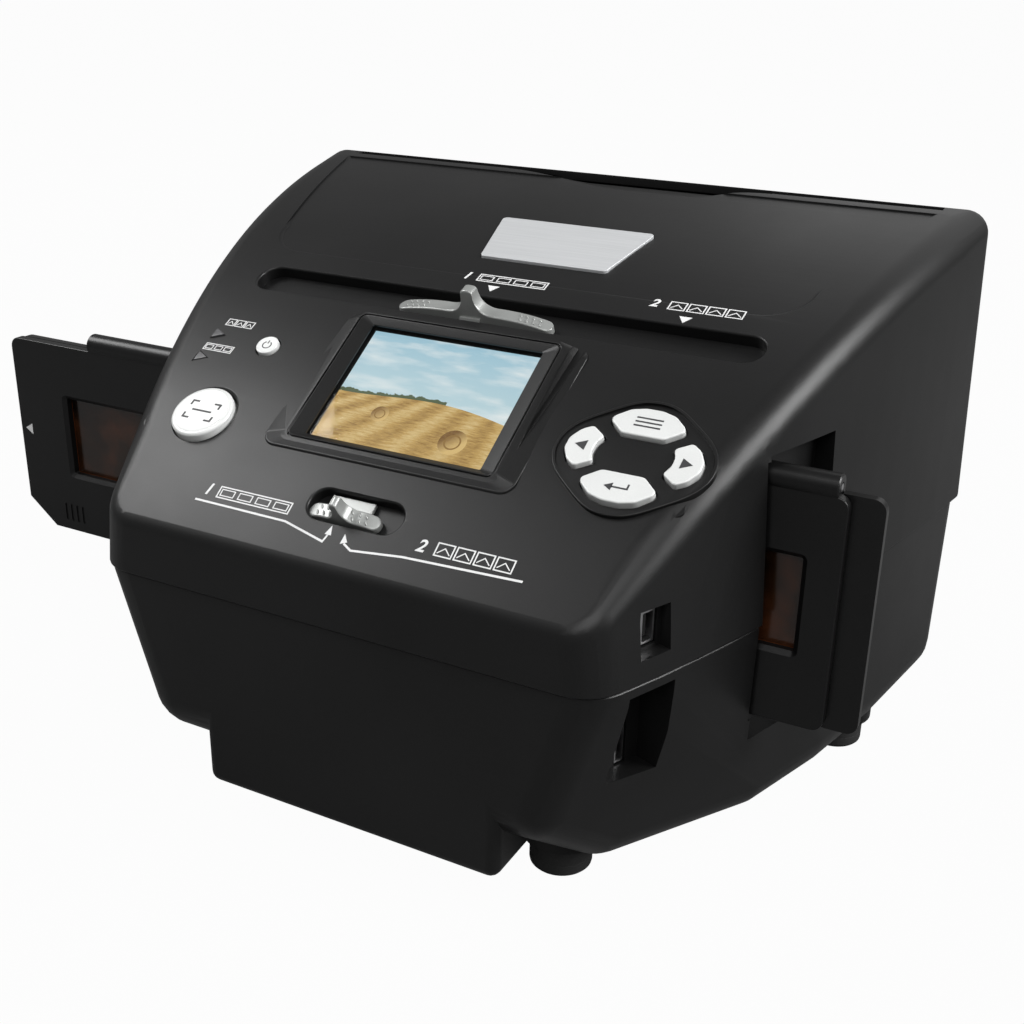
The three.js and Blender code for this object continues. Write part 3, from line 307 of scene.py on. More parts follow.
def makePicture(name, place, wide, tall):
    # A plain landscape of its own: a clouded sky, a far wood, and stubble with rows and bales
    material, wire, coords = startMaterial(name)
    centred = wire.node("ShaderNodeMapping", {"vector_type": "TEXTURE"}, {
        "Vector": coords, "Location": place["middle"], "Rotation": (place["slope"], 0.0, 0.0)})
    split = wire.node("ShaderNodeSeparateXYZ", None, {"Vector": centred})
    u = Wire(wire.tree, split.socket.node.outputs["X"]) / (wide * mm)
    v = Wire(wire.tree, split.socket.node.outputs["Y"]) / (tall * mm)
    flat = wire.node("ShaderNodeCombineXYZ", None, {0: u, 1: v, 2: 0.0})
    stretched = wire.node("ShaderNodeCombineXYZ", None, {0: u * 1.2, 1: v * 3.6, 2: 0.0})
    clouds = wire.noise(stretched, 2.6, 5.0, 0.5)
    sky = (v * 1.1 + 0.35).ramp((0.0, (0.62, 0.76, 0.78)), (1.0, (0.34, 0.56, 0.68)))
    cloudy = wire.math("MULTIPLY_ADD", clouds - 0.5, 3.2, 0.15).clamp()
    sky = cloudy.blend(sky, (0.84, 0.88, 0.88, 1.0))
    hill = wire.math("SINE", u * 4.2 + 0.9) * 0.05 - u * 0.1 - 0.06
    ground = v < hill
    bands = wire.node("ShaderNodeCombineXYZ", None, {0: u * 9.0, 1: v * 42.0, 2: 0.0})
    straw = wire.noise(bands, 1.6, 6.0, 0.75)
    rows = wire.math("SINE", (u - v * 0.8) / (0.62 - v) * 26.0) * 0.12
    stubble = (straw + rows).ramp((0.25, (0.3, 0.17, 0.05)), (0.5, (0.56, 0.36, 0.12)),
                                  (0.8, (0.78, 0.6, 0.3)))
    treetops = hill + (wire.noise(flat, 26.0, 3.0) * 0.07 - 0.008)
    wood = (v > hill) * (v < treetops) * (u < 0.12)
    color = ground.blend(sky, stubble)
    color = wood.blend(color, (0.1, 0.13, 0.07, 1.0))
    for middleU, middleV, reach in place["bales"]:
        du = (u - middleU) * (wide / tall)
        dv = v - middleV
        away = wire.math("SQRT", du * du + dv * dv)
        shade = ((du - dv) * 6.0 + 0.5).clamp()
        straws = wire.noise(flat, 60.0, 3.0) * 0.3
        bale = (shade + straws - 0.1).clamp().blend((0.2, 0.1, 0.03, 1.0), (0.72, 0.5, 0.2, 1.0))
        groove = wire.math("ABSOLUTE", away - reach * 0.55) < reach * 0.06
        bale = groove.blend(bale, (0.3, 0.17, 0.05, 1.0))
        color = (away < reach).blend(color, bale)
    lit = (wire.math("ABSOLUTE", u) < 0.5) * (wire.math("ABSOLUTE", v) < 0.5)
    color = lit.blend(grey(0.002), color)
    return finishMaterial(material, wire, {
        "Base Color": grey(0.01), "Roughness": 0.3, "Specular IOR Level": 0.05,
        "Emission Color": color, "Emission Strength": 0.95})


def makeFloor(name):
    material, wire, coords = startMaterial(name)
    soft = wire.noise(coords, 6.0, 3.0)
    color = soft.ramp((0.3, (0.18, 0.18, 0.18)), (0.7, (0.2, 0.2, 0.2)))
    lit = wire.node("ShaderNodeBsdfDiffuse", None, {"Color": color, "Roughness": 0.9})
    white = wire.node("ShaderNodeEmission", None, {"Color": grey(1.0), "Strength": 1.0})
    path = wire.node("ShaderNodeLightPath", None, None, "Is Camera Ray")
    seen = Wire(wire.tree, path.socket.node.outputs["Is Camera Ray"])
    glossy = Wire(wire.tree, path.socket.node.outputs["Is Glossy Ray"])
    through = Wire(wire.tree, path.socket.node.outputs["Is Transmission Ray"])
    share = ((seen + through) * 0.97 + glossy * 0.05).clamp()
    shader = wire.node("ShaderNodeMixShader", None, {0: share, 1: lit, 2: white})
    wire.node("ShaderNodeOutputMaterial", None, {"Surface": shader})
    return material


casingPlastic = makeMouldedPlastic("casingPlastic", (0.004, 0.004, 0.004), (0.009, 0.009, 0.0092), 0.38)
lowerPlastic = makeMouldedPlastic("lowerPlastic", (0.004, 0.004, 0.004), (0.009, 0.009, 0.0092), 0.36)
framePlastic = makeMouldedPlastic("framePlastic", (0.006, 0.006, 0.006), (0.013, 0.013, 0.0132), 0.34)
holderPlastic = makeMouldedPlastic("holderPlastic", (0.004, 0.004, 0.004), (0.009, 0.009, 0.0092), 0.32)
innerPlastic = makeMouldedPlastic("innerPlastic", (0.004, 0.004, 0.004), (0.01, 0.01, 0.01), 0.6)
silverLacquer = makeSilverLacquer("silverLacquer", (0.72, 0.73, 0.72), 0.4, 0.1)
leverLacquer = makeSilverLacquer("leverLacquer", (0.34, 0.35, 0.34), 0.32, 0.35)
plateMetal = makeBrushedPlate("plateMetal")
brightSteel = makeSteel("brightSteel")
screwSteel = makeSteel("screwSteel", 0.35, 0.4)
footRubber = makeRubber("footRubber")
circuitMask = makeCircuit("circuitMask")
screenGlass = makeWindow("screenGlass", (0.97, 0.98, 0.98, 1.0), 0.01)
lensCoating = makeWindow("lensCoating", (0.75, 0.8, 0.95, 1.0), 0.12)
opalSheet = makeOpal("opalSheet")
whiteInk = makeInk("whiteInk", (0.72, 0.72, 0.72))
darkInk = makeInk("darkInk", (0.03, 0.03, 0.032))
smokedPipe = makeMouldedPlastic("smokedPipe", (0.05, 0.05, 0.052), (0.09, 0.09, 0.094), 0.22, 0.05)
floorPaint = makeFloor("floorPaint")
print("materials made")

# Mesh tools


def newPiece(name, bm, material, body, replaced=(), sharp=32.0):
    bmesh.ops.transform(bm, matrix=toRow, verts=bm.verts)
    limit = math.radians(sharp)
    for face in bm.faces:
        face.smooth = True
    for edge in bm.edges:
        edge.smooth = len(edge.link_faces) == 2 and edge.calc_face_angle(0.0) < limit
    mesh = bpy.data.meshes.new(name)
    bm.to_mesh(mesh)
    bm.free()
    made = bpy.data.objects.new(name, mesh)
    scene.collection.objects.link(made)
    mesh.materials.append(material)
    normals = made.modifiers.new("weightedNormals", "WEIGHTED_NORMAL")  # keeps the flats flat
    normals.keep_sharp = True
    normals.weight = 100
    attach(made, body)
    if replaced:
        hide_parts(*replaced)
    return made


def solidFrom(bm):
    mesh = bpy.data.meshes.new("work")
    bm.to_mesh(mesh)
    made = bpy.data.objects.new("work", mesh)
    scene.collection.objects.link(made)
    return made


def meshOf(made):
    # an object's mesh as it stands, with its modifiers applied
    return bpy.data.meshes.new_from_object(made.evaluated_get(bpy.context.evaluated_depsgraph_get()))


def combine(bm, tools, operation="DIFFERENCE"):
    # joins or cuts a mesh with each of the tools in turn, and uses the tools up
    target = solidFrom(bm)
    bm.free()
    for tool in tools:
        other = solidFrom(tool)
        tool.free()
        change = target.modifiers.new("change", "BOOLEAN")
        change.operation = operation
        change.solver = "MANIFOLD"
        change.object = other
        bpy.context.view_layer.update()
        result = meshOf(target)
        target.modifiers.clear()
        if len(result.vertices) == 0 and operation != "INTERSECT":
            print("a cut emptied the mesh and was left out")
            bpy.data.meshes.remove(result)
        else:
            old = target.data
            target.data = result
            bpy.data.meshes.remove(old)
        oldTool = other.data
        bpy.data.objects.remove(other)
        bpy.data.meshes.remove(oldTool)
    joined = bmesh.new()
    joined.from_mesh(target.data)
    used = target.data
    bpy.data.objects.remove(target)
    bpy.data.meshes.remove(used)
    return joined


def joined(parts):
    return combine(parts[0], parts[1:], "UNION")


def placed(bm, matrix):
    bmesh.ops.transform(bm, matrix=matrix, verts=bm.verts)
    return bm


def onPanel(bm, panel, u, v):
    return placed(placed(bm, Matrix.Translation((u, v, 0))), panel)


def flipped(bm):
    bmesh.ops.transform(bm, matrix=Matrix.Scale(-1, 4, (1, 0, 0)), verts=bm.verts)
    bmesh.ops.reverse_faces(bm, faces=bm.faces)
    return bm


def block(x0, x1, y0, y1, z0, z1, rounding=0.0, segments=3):
    bm = bmesh.new()
    middle = Matrix.Translation(((x0 + x1) / 2, (y0 + y1) / 2, (z0 + z1) / 2))
    bmesh.ops.create_cube(bm, size=1.0, matrix=middle @ Matrix.Diagonal((x1 - x0, y1 - y0, z1 - z0, 1)))
    if rounding:
        bmesh.ops.bevel(bm, geom=bm.edges[:], affect="EDGES", offset=rounding, segments=segments,
                        profile=0.5, material=-1)
    return bm


def bar(radius, start, end, sides=48):
    start, end = Vector(start), Vector(end)
    along = end - start
    bm = bmesh.new()
    turn = along.to_track_quat("Z", "Y").to_matrix().to_4x4()
    bmesh.ops.create_cone(bm, cap_ends=True, segments=sides, radius1=radius, radius2=radius,
                          depth=along.length, matrix=Matrix.Translation((start + end) / 2) @ turn)
    return bm


def loft(rings, closed=False):
    # body through a stack of rings with the same number of points, capped or running round
    bm = bmesh.new()
    loops = []
    for ring in rings:
        verts = [bm.verts.new(point) for point in ring]
        loops.append([bm.edges.new(pair) for pair in zip(verts, verts[1:] + verts[:1])])
    following = loops[1:] + loops[:1] if closed else loops[1:]
    for below, above in zip(loops, following):
        bmesh.ops.bridge_loops(bm, edges=below + above)
    for end in () if closed else (loops[0], loops[-1]):
        bmesh.ops.contextual_create(bm, geom=end)
    bmesh.ops.recalc_face_normals(bm, faces=bm.faces)
    return bm


def at(points, z):
    return [Vector((x, y, z)) for x, y in points]


def raised(outline, low, high, rim, steps=4):
    # outline(grow) pushed up, with its upper edge rounded over by rim
    rings = [at(outline(0.0), low), at(outline(0.0), high - rim)]
    for step in range(1, steps + 1):
        angle = math.pi / 2 * step / steps
        rings.append(at(outline(rim * (math.cos(angle) - 1)), high - rim + rim * math.sin(angle)))
    return loft(rings)


def sunk(outline, low, rim, top=overrun, steps=4):
    # a cutter from low to the surface at z 0, flared there so that the edge it leaves is round
    rings = [at(outline(0.0), low)]
    for step in range(steps + 1):
        angle = math.pi / 2 * step / steps
        rings.append(at(outline(rim * (1 - math.cos(angle))), rim * (math.sin(angle) - 1)))
    rings.append(at(outline(rim), top))
    return loft(rings)


def box(left, low, right, high):
    return [(left, low), (right, low), (right, high), (left, high)]


def arc(x, y, radius, start, end, steps):
    angles = [math.radians(start + (end - start) * i / steps) for i in range(steps + 1)]
    return [(x + radius * math.cos(angle), y + radius * math.sin(angle)) for angle in angles]


def rounded(wide, tall, radius, steps=8):
    def outline(grow):
        r = max(radius + grow, 0.05)
        right, top = wide / 2 + grow - r, tall / 2 + grow - r
        return (arc(right, -top, r, -90, 0, steps) + arc(right, top, r, 0, 90, steps)
                + arc(-right, top, r, 90, 180, steps) + arc(-right, -top, r, 180, 270, steps))
    return outline


def circle(radius, steps=64):
    def outline(grow):
        return arc(0, 0, radius + grow, 0, 360 - 360 / steps, steps - 1)
    return outline


def spun(profile, steps=72):
    # a profile of (radius, height) turned once round z
    bm = bmesh.new()
    verts = [bm.verts.new((r, 0.0, z)) for r, z in profile]
    edges = [bm.edges.new(pair) for pair in zip(verts, verts[1:])]
    bmesh.ops.spin(bm, geom=verts + edges, cent=(0, 0, 0), axis=(0, 0, 1), angle=2 * math.pi, steps=steps,
                   use_merge=True)
    bmesh.ops.remove_doubles(bm, verts=bm.verts, dist=1e-5)
    bmesh.ops.recalc_face_normals(bm, faces=bm.faces)
    return bm


# The casing's two guiding curves

deckFront = dict(y=-43.0, z=87.0, slope=33.5, reach=75.0)
deckCrest = dict(y=118.0, z=151.0, slope=7.0, reach=60.0)
casing = dict(frontY=-44.0, rearY=122.0, wallLean=3.0, noseRadius=11.0, noseEdge=5.5, ridgeRadius=8.0,
              crestRadius=6.5, top=150.26, partingHigh=68.5, underside=10.0, lowerInset=1.2,
              lowerRadius=9.0, samples=56, farHalf=128.0, farTop=171.0, seamRound=0.6)
lowerPlan = dict(corners=[(61.5, -42.8, 23.0), (68.0, -26.0, 10.5), (79.5, -2.0, 9.8), (89.0, 22.0, 9.8),
                          (96.5, 46.0, 9.8), (103.0, 76.0, 9.8), (109.0, 120.5, 12.0)],
                 radius=12.0, frontEnd=0.0, rearEnd=100.0)
screenSlope = math.radians(33.5)
screenHigh = 113.0


def slopeStep(point, slope, reach):
    angle = math.radians(slope)
    return Vector((point["y"] + reach * math.cos(angle), point["z"] + reach * math.sin(angle)))


deckCurve = [Vector((deckFront["y"], deckFront["z"])),
             slopeStep(deckFront, deckFront["slope"], deckFront["reach"]),
             slopeStep(deckCrest, deckCrest["slope"], -deckCrest["reach"]),
             Vector((deckCrest["y"], deckCrest["z"]))]
planCurve = [Vector((-42.0, 66.0)), Vector((30.0, 96.0)), Vector((120.0, 108.0))]
noseBend = dict(y=-4.0, run=39.0, drop=3.0)  # the deck bends down a little more towards the nose


def onCurve(points, share):
    while len(points) > 2:
        points = [a.lerp(b, share) for a, b in zip(points, points[1:])]
    return points[0].lerp(points[1], share), (points[1] - points[0]).normalized()


def onPlanCurve(share):
    return onCurve(planCurve, share)


def onDeckCurve(share):
    point, along = onCurve(deckCurve, share)
    over = max(0.0, noseBend["y"] - point.x) / noseBend["run"]
    slope = along.y / along.x + 2 * noseBend["drop"] * over / noseBend["run"]
    bent = Vector((point.x, point.y - noseBend["drop"] * over ** 2))
    return bent, Vector((1.0, slope)).normalized()


def shareAt(follow, y, offset=0.0):
    low, high = 0.0, 1.0
    for _ in range(40):
        middle = (low + high) / 2
        point, along = follow(middle)
        if point.x + along.y * offset < y:
            low = middle
        else:
            high = middle
    return (low + high) / 2


def deckHigh(y):
    return onDeckCurve(shareAt(onDeckCurve, y))[0].y


def halfWide(y):
    return onPlanCurve(shareAt(onPlanCurve, y))[0].y


def deckSlope(y):
    along = onDeckCurve(shareAt(onDeckCurve, y))[1]
    return math.atan2(along.y, along.x)


def onDeck(x, y):
    return Matrix.Translation((x, y, deckHigh(y))) @ Matrix.Rotation(deckSlope(y), 4, "X")


def followDeck(points, lift):
    # points (x, y) laid on the deck, raised or sunk straight up or down
    return [Vector((x, y, deckHigh(y) + lift)) for x, y in points]


def onRightWall(y):
    along = onPlanCurve(shareAt(onPlanCurve, y))[1]
    turn = Matrix.Rotation(-math.atan2(along.y, along.x), 4, "Z")
    return Matrix.Translation((halfWide(y) + casing["wallLean"], y, 0)) @ turn


onScreen = Matrix.Translation((0, 0, screenHigh)) @ Matrix.Rotation(screenSlope, 4, "X")


def hullOfBalls(rows, corners, inset=0.0):
    # rows of balls are swept as rings square to their path, corner balls are whole
    bm = bmesh.new()
    for side in (-1, 1):
        for row in rows:
            places = [Vector((side * x, y, z)) for x, y, z, _ in row]
            for i in range(1, len(row) - 1):
                along = places[i + 1] - places[i - 1]
                turn = along.to_track_quat("Z", "Y").to_matrix().to_4x4()
                bmesh.ops.create_circle(bm, segments=40, radius=row[i][3] - inset,
                                        matrix=Matrix.Translation(places[i]) @ turn)
        for x, y, z, radius in corners + [row[0] for row in rows] + [row[-1] for row in rows]:
            bmesh.ops.create_uvsphere(bm, u_segments=32, v_segments=16, radius=radius - inset,
                                      matrix=Matrix.Translation((side * x, y, z)))
    bmesh.ops.delete(bm, geom=bm.edges[:], context="EDGES_FACES")
    bmesh.ops.convex_hull(bm, input=bm.verts[:])
    loose = [vert for vert in bm.verts if not vert.link_faces]
    bmesh.ops.delete(bm, geom=loose, context="VERTS")
    bmesh.ops.recalc_face_normals(bm, faces=bm.faces)
    return bm


def upperHull(inset=0.0):
    c = casing
    first = c["frontY"] + c["noseRadius"]
    last = c["rearY"] - c["crestRadius"]
    count = c["samples"]
    ridge, foot = [], []
    for i in range(count):
        y = first + (last - first) * i / (count - 1)
        radius = c["crestRadius"] if i == count - 1 else c["ridgeRadius"]
        point, along = onDeckCurve(shareAt(onDeckCurve, y, radius))
        high = min(point.y - radius * along.x, c["top"] - radius)
        ridge.append((halfWide(y) - radius, y, high, radius))
        if i % 4 == 0 or i == count - 1:
            radius = c["noseRadius"] if i == 0 else radius
            foot.append((halfWide(y) + c["wallLean"] - radius, y, c["partingHigh"] - radius, radius))
    # the nose's own corners are wide seen from above and tight over the edge
    edge, spread = c["noseEdge"], c["noseRadius"] - c["noseEdge"]
    middle = halfWide(first) - c["noseRadius"]
    nose = []
    for i in range(7):
        angle = math.radians(15.0 * i)
        y = first - spread * math.cos(angle)
        point, along = onDeckCurve(shareAt(onDeckCurve, y, edge))
        nose.append((middle + spread * math.sin(angle), y, point.y - edge * along.x, edge))
    return hullOfBalls([ridge, foot], nose, inset)


def lowerHull(inset=0.0):
    c = casing
    r = c["lowerRadius"]
    shrink = c["lowerInset"]
    first = c["frontY"] + c["noseRadius"]
    last = c["rearY"] - r
    count = c["samples"] // 4
    brim = []
    for i in range(count):
        y = first + (last - first) * i / (count - 1)
        radius = c["noseRadius"] if i == 0 else r
        shift = shrink if i == 0 else -shrink if i == count - 1 else 0.0
        brim.append((halfWide(y) + c["wallLean"] - radius - shrink, y + shift, c["partingHigh"], radius))
    ball = lowerPlan["radius"]
    edge = []
    for x, y, low in lowerPlan["corners"]:
        inward = ball if y < lowerPlan["frontEnd"] else -ball if y > lowerPlan["rearEnd"] else 0.0
        edge.append((x - ball, y + inward, low + ball, ball))
    return hullOfBalls([brim], edge, inset)


def cutFlat(bm, height, keepAbove, rounding):
    # cuts the hull level, closes it, and rounds the edge round the cut
    cut = bmesh.ops.bisect_plane(bm, geom=bm.verts[:] + bm.edges[:] + bm.faces[:], dist=1e-4,
                                 plane_co=(0, 0, height), plane_no=(0, 0, 1),
                                 clear_inner=keepAbove, clear_outer=not keepAbove)
    rim = [item for item in cut["geom_cut"] if isinstance(item, bmesh.types.BMEdge)]
    bmesh.ops.contextual_create(bm, geom=rim)
    bmesh.ops.recalc_face_normals(bm, faces=bm.faces)
    lip = [edge for edge in bm.edges if len(edge.link_faces) == 2
           and all(abs(vert.co.z - height) < 1e-3 for vert in edge.verts)]
    bmesh.ops.bevel(bm, geom=lip, affect="EDGES", offset=rounding, segments=3, profile=0.5,
                    material=-1)
    return bm


makeCamera()
makeLamps()
upperOuter = cutFlat(upperHull(), casing["partingHigh"], True, casing["seamRound"])
print("upper hull", len(upperOuter.verts))
lowerOuter = cutFlat(lowerHull(), casing["partingHigh"] - seat, False, casing["seamRound"])
print("lower hull", len(lowerOuter.verts))

# Controls' places, shared by the casing's cuts and the pieces that sit in them

leftPanel = onDeck(-58.0, -6.0)
rightPanel = onDeck(58.0, -5.6)
scanKey = dict(u=3.5, v=-13.2, radius=8.3, proud=1.2, dome=0.8, rim=1.3)
powerKey = dict(u=7.5, v=12.4, radius=3.1, proud=0.7, dome=0.3, rim=0.5)
lights = dict(u=-9.5, high=(13.8, 5.0), side=3.4, proud=0.2)
keyRing = dict(u=0.3, v=-1.1, proud=1.1, rim=0.4, corner=0.8, stemU=12.3, stemV=9.6,
               right=[(8.4, -3.7), (12.0, -6.2), (14.4, -4.6), (16.2, -1.6), (16.2, 1.6), (14.4, 4.6),
                      (12.0, 6.2), (8.4, 3.7), (9.5, 1.2), (9.5, -1.2)],
               mode=[(-5.1, 5.6), (5.1, 5.6), (8.9, 8.8), (8.6, 10.2), (5.5, 12.9), (2.0, 13.9),
                     (-2.0, 13.9), (-5.5, 12.9), (-8.6, 10.2), (-8.9, 8.8)])
surround = dict(wide=0.8, proud=0.35, corner=5.0,
                line=[(18.4, -2.4), (18.4, 2.4), (15.9, 7.2), (5.2, 15.6), (0.0, 16.6)])
flange = dict(wide=1.5, thick=1.0, top=-4.6)
keyBoardTop = -8.2
stem = dict(radius=1.8, end=-6.1)
fitGap = 0.35
postRadius = 1.9
longSlot = dict(x=2.0, y=29.0, long=146.0, wide=10.2, depth=3.4, travel=52.6)
shortSlot = dict(x=0.5, y=-31.0, long=25.4, wide=8.4, depth=3.0, travel=4.5)
longLever = dict(x=-2.0, v=-1.6, long=45.0, wide=4.0, tip=10.5, tipHalf=1.7, foot=7.0, shoulder=3.8,
                 end=1.8, bumps=4, stem=(27.0, 3.0, 3.0), plate=None)
shortLever = dict(x=-2.2, v=-1.5, long=19.4, wide=3.8, tip=8.2, tipHalf=0.95, foot=4.4, shoulder=2.5,
                  end=1.4, bumps=3, stem=(-29.0, 1.5, 2.0), plate=(6.0, 0.9, 3.7, 1.0))
holder = dict(y=12.6, bottom=43.6, top=103.1, left=-151.7, frontRight=103.0, backRight=110.6, thick=2.6,
              step=1.0, corner=3.0, chamfer=(10.0, 8.0), pitch=38.0, frames=6, window=(36.0, 24.0),
              optical=74.7, filmTall=35.0, filmThick=0.3, bevel=1.2)
barrel = dict(radius=3.2, soft=0.3, drop=1.4, left=-120.5, right=100.4, middle=(-50.0, 30.0), pin=1.0)
passage = dict(inner=55.0, clearance=0.9, run=0.4)
pocket = dict(y=21.0, half=13.0, depth=7.0, low=37.0, high=110.0)
cardRecess = dict(y=-27.0, half=7.0, depth=11.0, low=41.0, high=65.7)
usbRecess = dict(y=-27.0, half=4.5, depth=4.0, low=74.0, high=85.0)
portBoardY = 3.2
cardSocket = dict(first=-38.0, thick=3.0, low=41.3, high=65.4, mouth=2.1, outer=-11.3)
usbSocket = dict(first=-14.0, thick=4.6, low=75.2, high=83.6, mouth=3.2, outer=-4.3)
recess = dict(frontHalf=79.0, frontY=42.0, rearHalf=94.0, rearY=108.0, radius=12.0, depth=0.8,
              shown=0.45, soft=1.1)
photoSlot = dict(half=95.0, y0=112.6, y1=116.4, through=24.0)
scoop = dict(left=-37.0, right=47.0, lowLeft=5.0, lowRight=26.0, front=103.0, floor=142.5, bend=14.0)
plate = dict(x=5.6, y=61.4, topHalf=23.3, lowHalf=18.9, tall=22.9, depth=0.9, thick=1.4)
screw = dict(places=[(-34, -34), (34, -34), (-70, 99), (70, 99)], head=2.8, headHigh=2.0, radius=1.5,
             top=79.0, at=34.0, post=4.2, counterbore=3.3, crossHalf=1.6, crossWide=0.64, crossDeep=1.2)
foot = dict(places=[(-46, -10), (46, -10), (-90, 83), (90, 83)], radius=8.0, high=9.8, boss=10.0,
            bossLow=8.4, pocket=10.1)
skirt = dict(left=-39.5, right=45.0, depth=30.0, bottom=13.8, top=45.0, radius=3.0)
bezelTube = dict(half=28.3, tall=22.2, low=-7.5, wall=1.9)
screenSize = dict(wide=48.96, tall=36.72)
corners = ["front_left", "front_right", "rear_left", "rear_right"]


def pushed(points, grow):
    # a polygon given anticlockwise, with every side moved outwards
    corners = [Vector(point) for point in points]
    made = []
    for before, here, after in zip(corners[-1:] + corners[:-1], corners, corners[1:] + corners[:1]):
        first, second = (here - before).normalized(), (after - here).normalized()
        out = Vector((first.y + second.y, -first.x - second.x))
        made.append(here + out * (grow / (1 + first.dot(second))))
    return made


def softened(points, radius, steps=4):
    # rounds the corners of a polygon, with the same number of points for every size
    made = []
    count = len(points)
    for i, point in enumerate(points):
        here, before, after = Vector(point), Vector(points[i - 1]), Vector(points[(i + 1) % count])
        start = here + (before - here) * min(radius / (before - here).length, 0.45)
        end = here + (after - here) * min(radius / (after - here).length, 0.45)
        for step in range(steps + 1):
            share = step / steps
            made.append(tuple(start.lerp(here, share).lerp(here.lerp(end, share), share)))
    return made


def keyOutline(quarter):
    # the four keys round the bare middle: right, upper, left, lower
    points = keyRing["right"] if quarter % 2 == 0 else keyRing["mode"]
    sign = -1 if quarter > 1 else 1

    def outline(grow):
        rounder = softened(pushed(points, grow), keyRing["corner"])
        return [(sign * u + keyRing["u"], sign * v + keyRing["v"]) for u, v in rounder]
    return outline


def surroundOutline(grow):
    half = surround["line"]
    quarter = half + [(-u, v) for u, v in reversed(half[1:-1])]
    points = quarter + [(-u, -v) for u, v in quarter]
    points = [point for i, point in enumerate(points) if point not in points[:i]]
    rounder = softened(pushed(points, grow), surround["corner"], 6)
    return [(u + keyRing["u"], v + keyRing["v"]) for u, v in rounder]


def triangle(side):
    def outline(grow):
        half = side / 2 + grow
        return [(-half, -half - grow * 0.5), (half + grow, 0.0), (-half, half + grow * 0.5)]
    return outline


def plateOutline(corner=1.4, steps=5):
    def outline(grow):
        tall = plate["tall"] / 2 + grow
        low, top = plate["lowHalf"] + grow, plate["topHalf"] + grow
        r = corner + grow
        return (arc(low - r, -tall + r, r, -90, 0, steps)
                + arc(top - r * 1.2, tall - r, r, 0, 90, steps)
                + arc(-top + r * 1.2, tall - r, r, 90, 180, steps)
                + arc(-low + r, -tall + r, r, 180, 270, steps))
    return outline


def wallCut(form, grow=0.0):
    room = block(-form["depth"] - grow, beyondWall, -form["half"] - grow, form["half"] + grow,
                 form["low"] - grow, form["high"] + grow)
    return placed(room, onRightWall(form["y"]))


def wallFlare(form, rim):
    # a shallow wider mouth at the wall, so that the recess has a rounded edge
    def outline(grow):
        half, middle = form["half"] + grow, (form["low"] + form["high"]) / 2
        tall = (form["high"] - form["low"]) / 2 + grow
        return box(-half, middle - tall, half, middle + tall)
    turn = Matrix(((0, 0, 1, 0), (1, 0, 0, 0), (0, 1, 0, 0), (0, 0, 0, 1)))
    return placed(sunk(outline, -form["depth"], rim, top=30.0), onRightWall(form["y"]) @ turn)


def socketSides(form):
    back = portBoardY - seat
    return back - form["thick"], back


def socketRoom(form):
    y0, y1 = socketSides(form)
    room = block(form["first"], form["outer"] + overrun, y0 - seat, y1 + seat,
                 form["low"] - seat, form["high"] + seat)
    return placed(room, onRightWall(cardRecess["y"]))


def passageCut():
    grow = passage["clearance"]
    reach = barrel["radius"] + passage["run"] + grow
    high = holder["top"] + barrel["drop"] + barrel["radius"]
    return block(passage["inner"], casing["farHalf"], holder["y"] - reach, holder["y"] + reach,
                 holder["bottom"] - grow, high + grow)


def channel(slot, grow=0.0, rim=0.0):
    outline = rounded(slot["long"] + 2 * grow, slot["wide"] + 2 * grow, slot["wide"] / 2 + grow - 0.15, 14)
    if rim:
        return placed(sunk(outline, -slot["depth"], rim), onDeck(slot["x"], slot["y"]))
    return placed(loft([at(outline(0.0), -slot["depth"] - grow), at(outline(0.0), overrun)]),
                  onDeck(slot["x"], slot["y"]))


def stemCut(slot, lever):
    y, half, thick = lever["stem"]
    gap = 2 * seat
    high = deckHigh(slot["y"])
    return block(lever["x"] - half - gap, lever["x"] + half + slot["travel"] + gap, y - thick / 2 - seat,
                 y + thick / 2 + seat, high - slot["depth"] - throughDeck, high + overrun)


def scoopOutline(steps=16):
    def bend(a, b, c, d):
        ends = [Vector(a), Vector(b), Vector(c), Vector(d)]
        return [tuple(onCurve(ends, i / steps)[0]) for i in range(steps + 1)]

    def outline(grow):
        s = scoop
        top, front = photoSlot["y0"] - grow, s["front"] - grow
        left, right = s["left"] - grow, s["right"] + grow
        return (bend((left, top), (s["left"] + s["bend"], top), (s["lowLeft"] - s["bend"], front),
                     (s["lowLeft"], front))
                + bend((s["lowRight"], front), (s["lowRight"] + s["bend"] / 2, front),
                       (s["right"] - s["bend"], top), (right, top))
                + [(right, photoSlot["y1"]), (left, photoSlot["y1"])])
    return outline


def deckRecess():
    # the shallow panel behind the long channel: its edge follows the deck and is rounded
    r = recess

    def outline(grow):
        front, rear = r["frontHalf"] + grow, r["rearHalf"] + grow
        bendY = r["frontY"] - grow + r["radius"]
        left = [(-rear, r["rearY"]), (-front, bendY)]
        left += arc(-front + r["radius"], bendY, r["radius"], 180, 270, 8)[1:]
        return left + [(-x, y) for x, y in reversed(left)]

    levels = [(r["soft"], overrun), (r["soft"], 0.04), (r["soft"] * 0.55, -0.1), (r["soft"] * 0.2, -0.28),
              (0.0, -r["shown"]), (0.0, -3.0)]
    return combine(loft([followDeck(outline(grow), lift) for grow, lift in levels]), [upperHull(r["shown"])])


def scoopCut():
    # a dish that runs down to the slot, with a soft front edge
    levels = [(1.4, overrun), (1.4, 0.05), (0.9, -0.12), (0.3, -0.4), (-0.8, -0.9), (-2.4, -1.5),
              (-4.6, -2.1), (-6.6, -2.5)]
    return loft([followDeck(scoopOutline()(grow), lift) for grow, lift in levels])


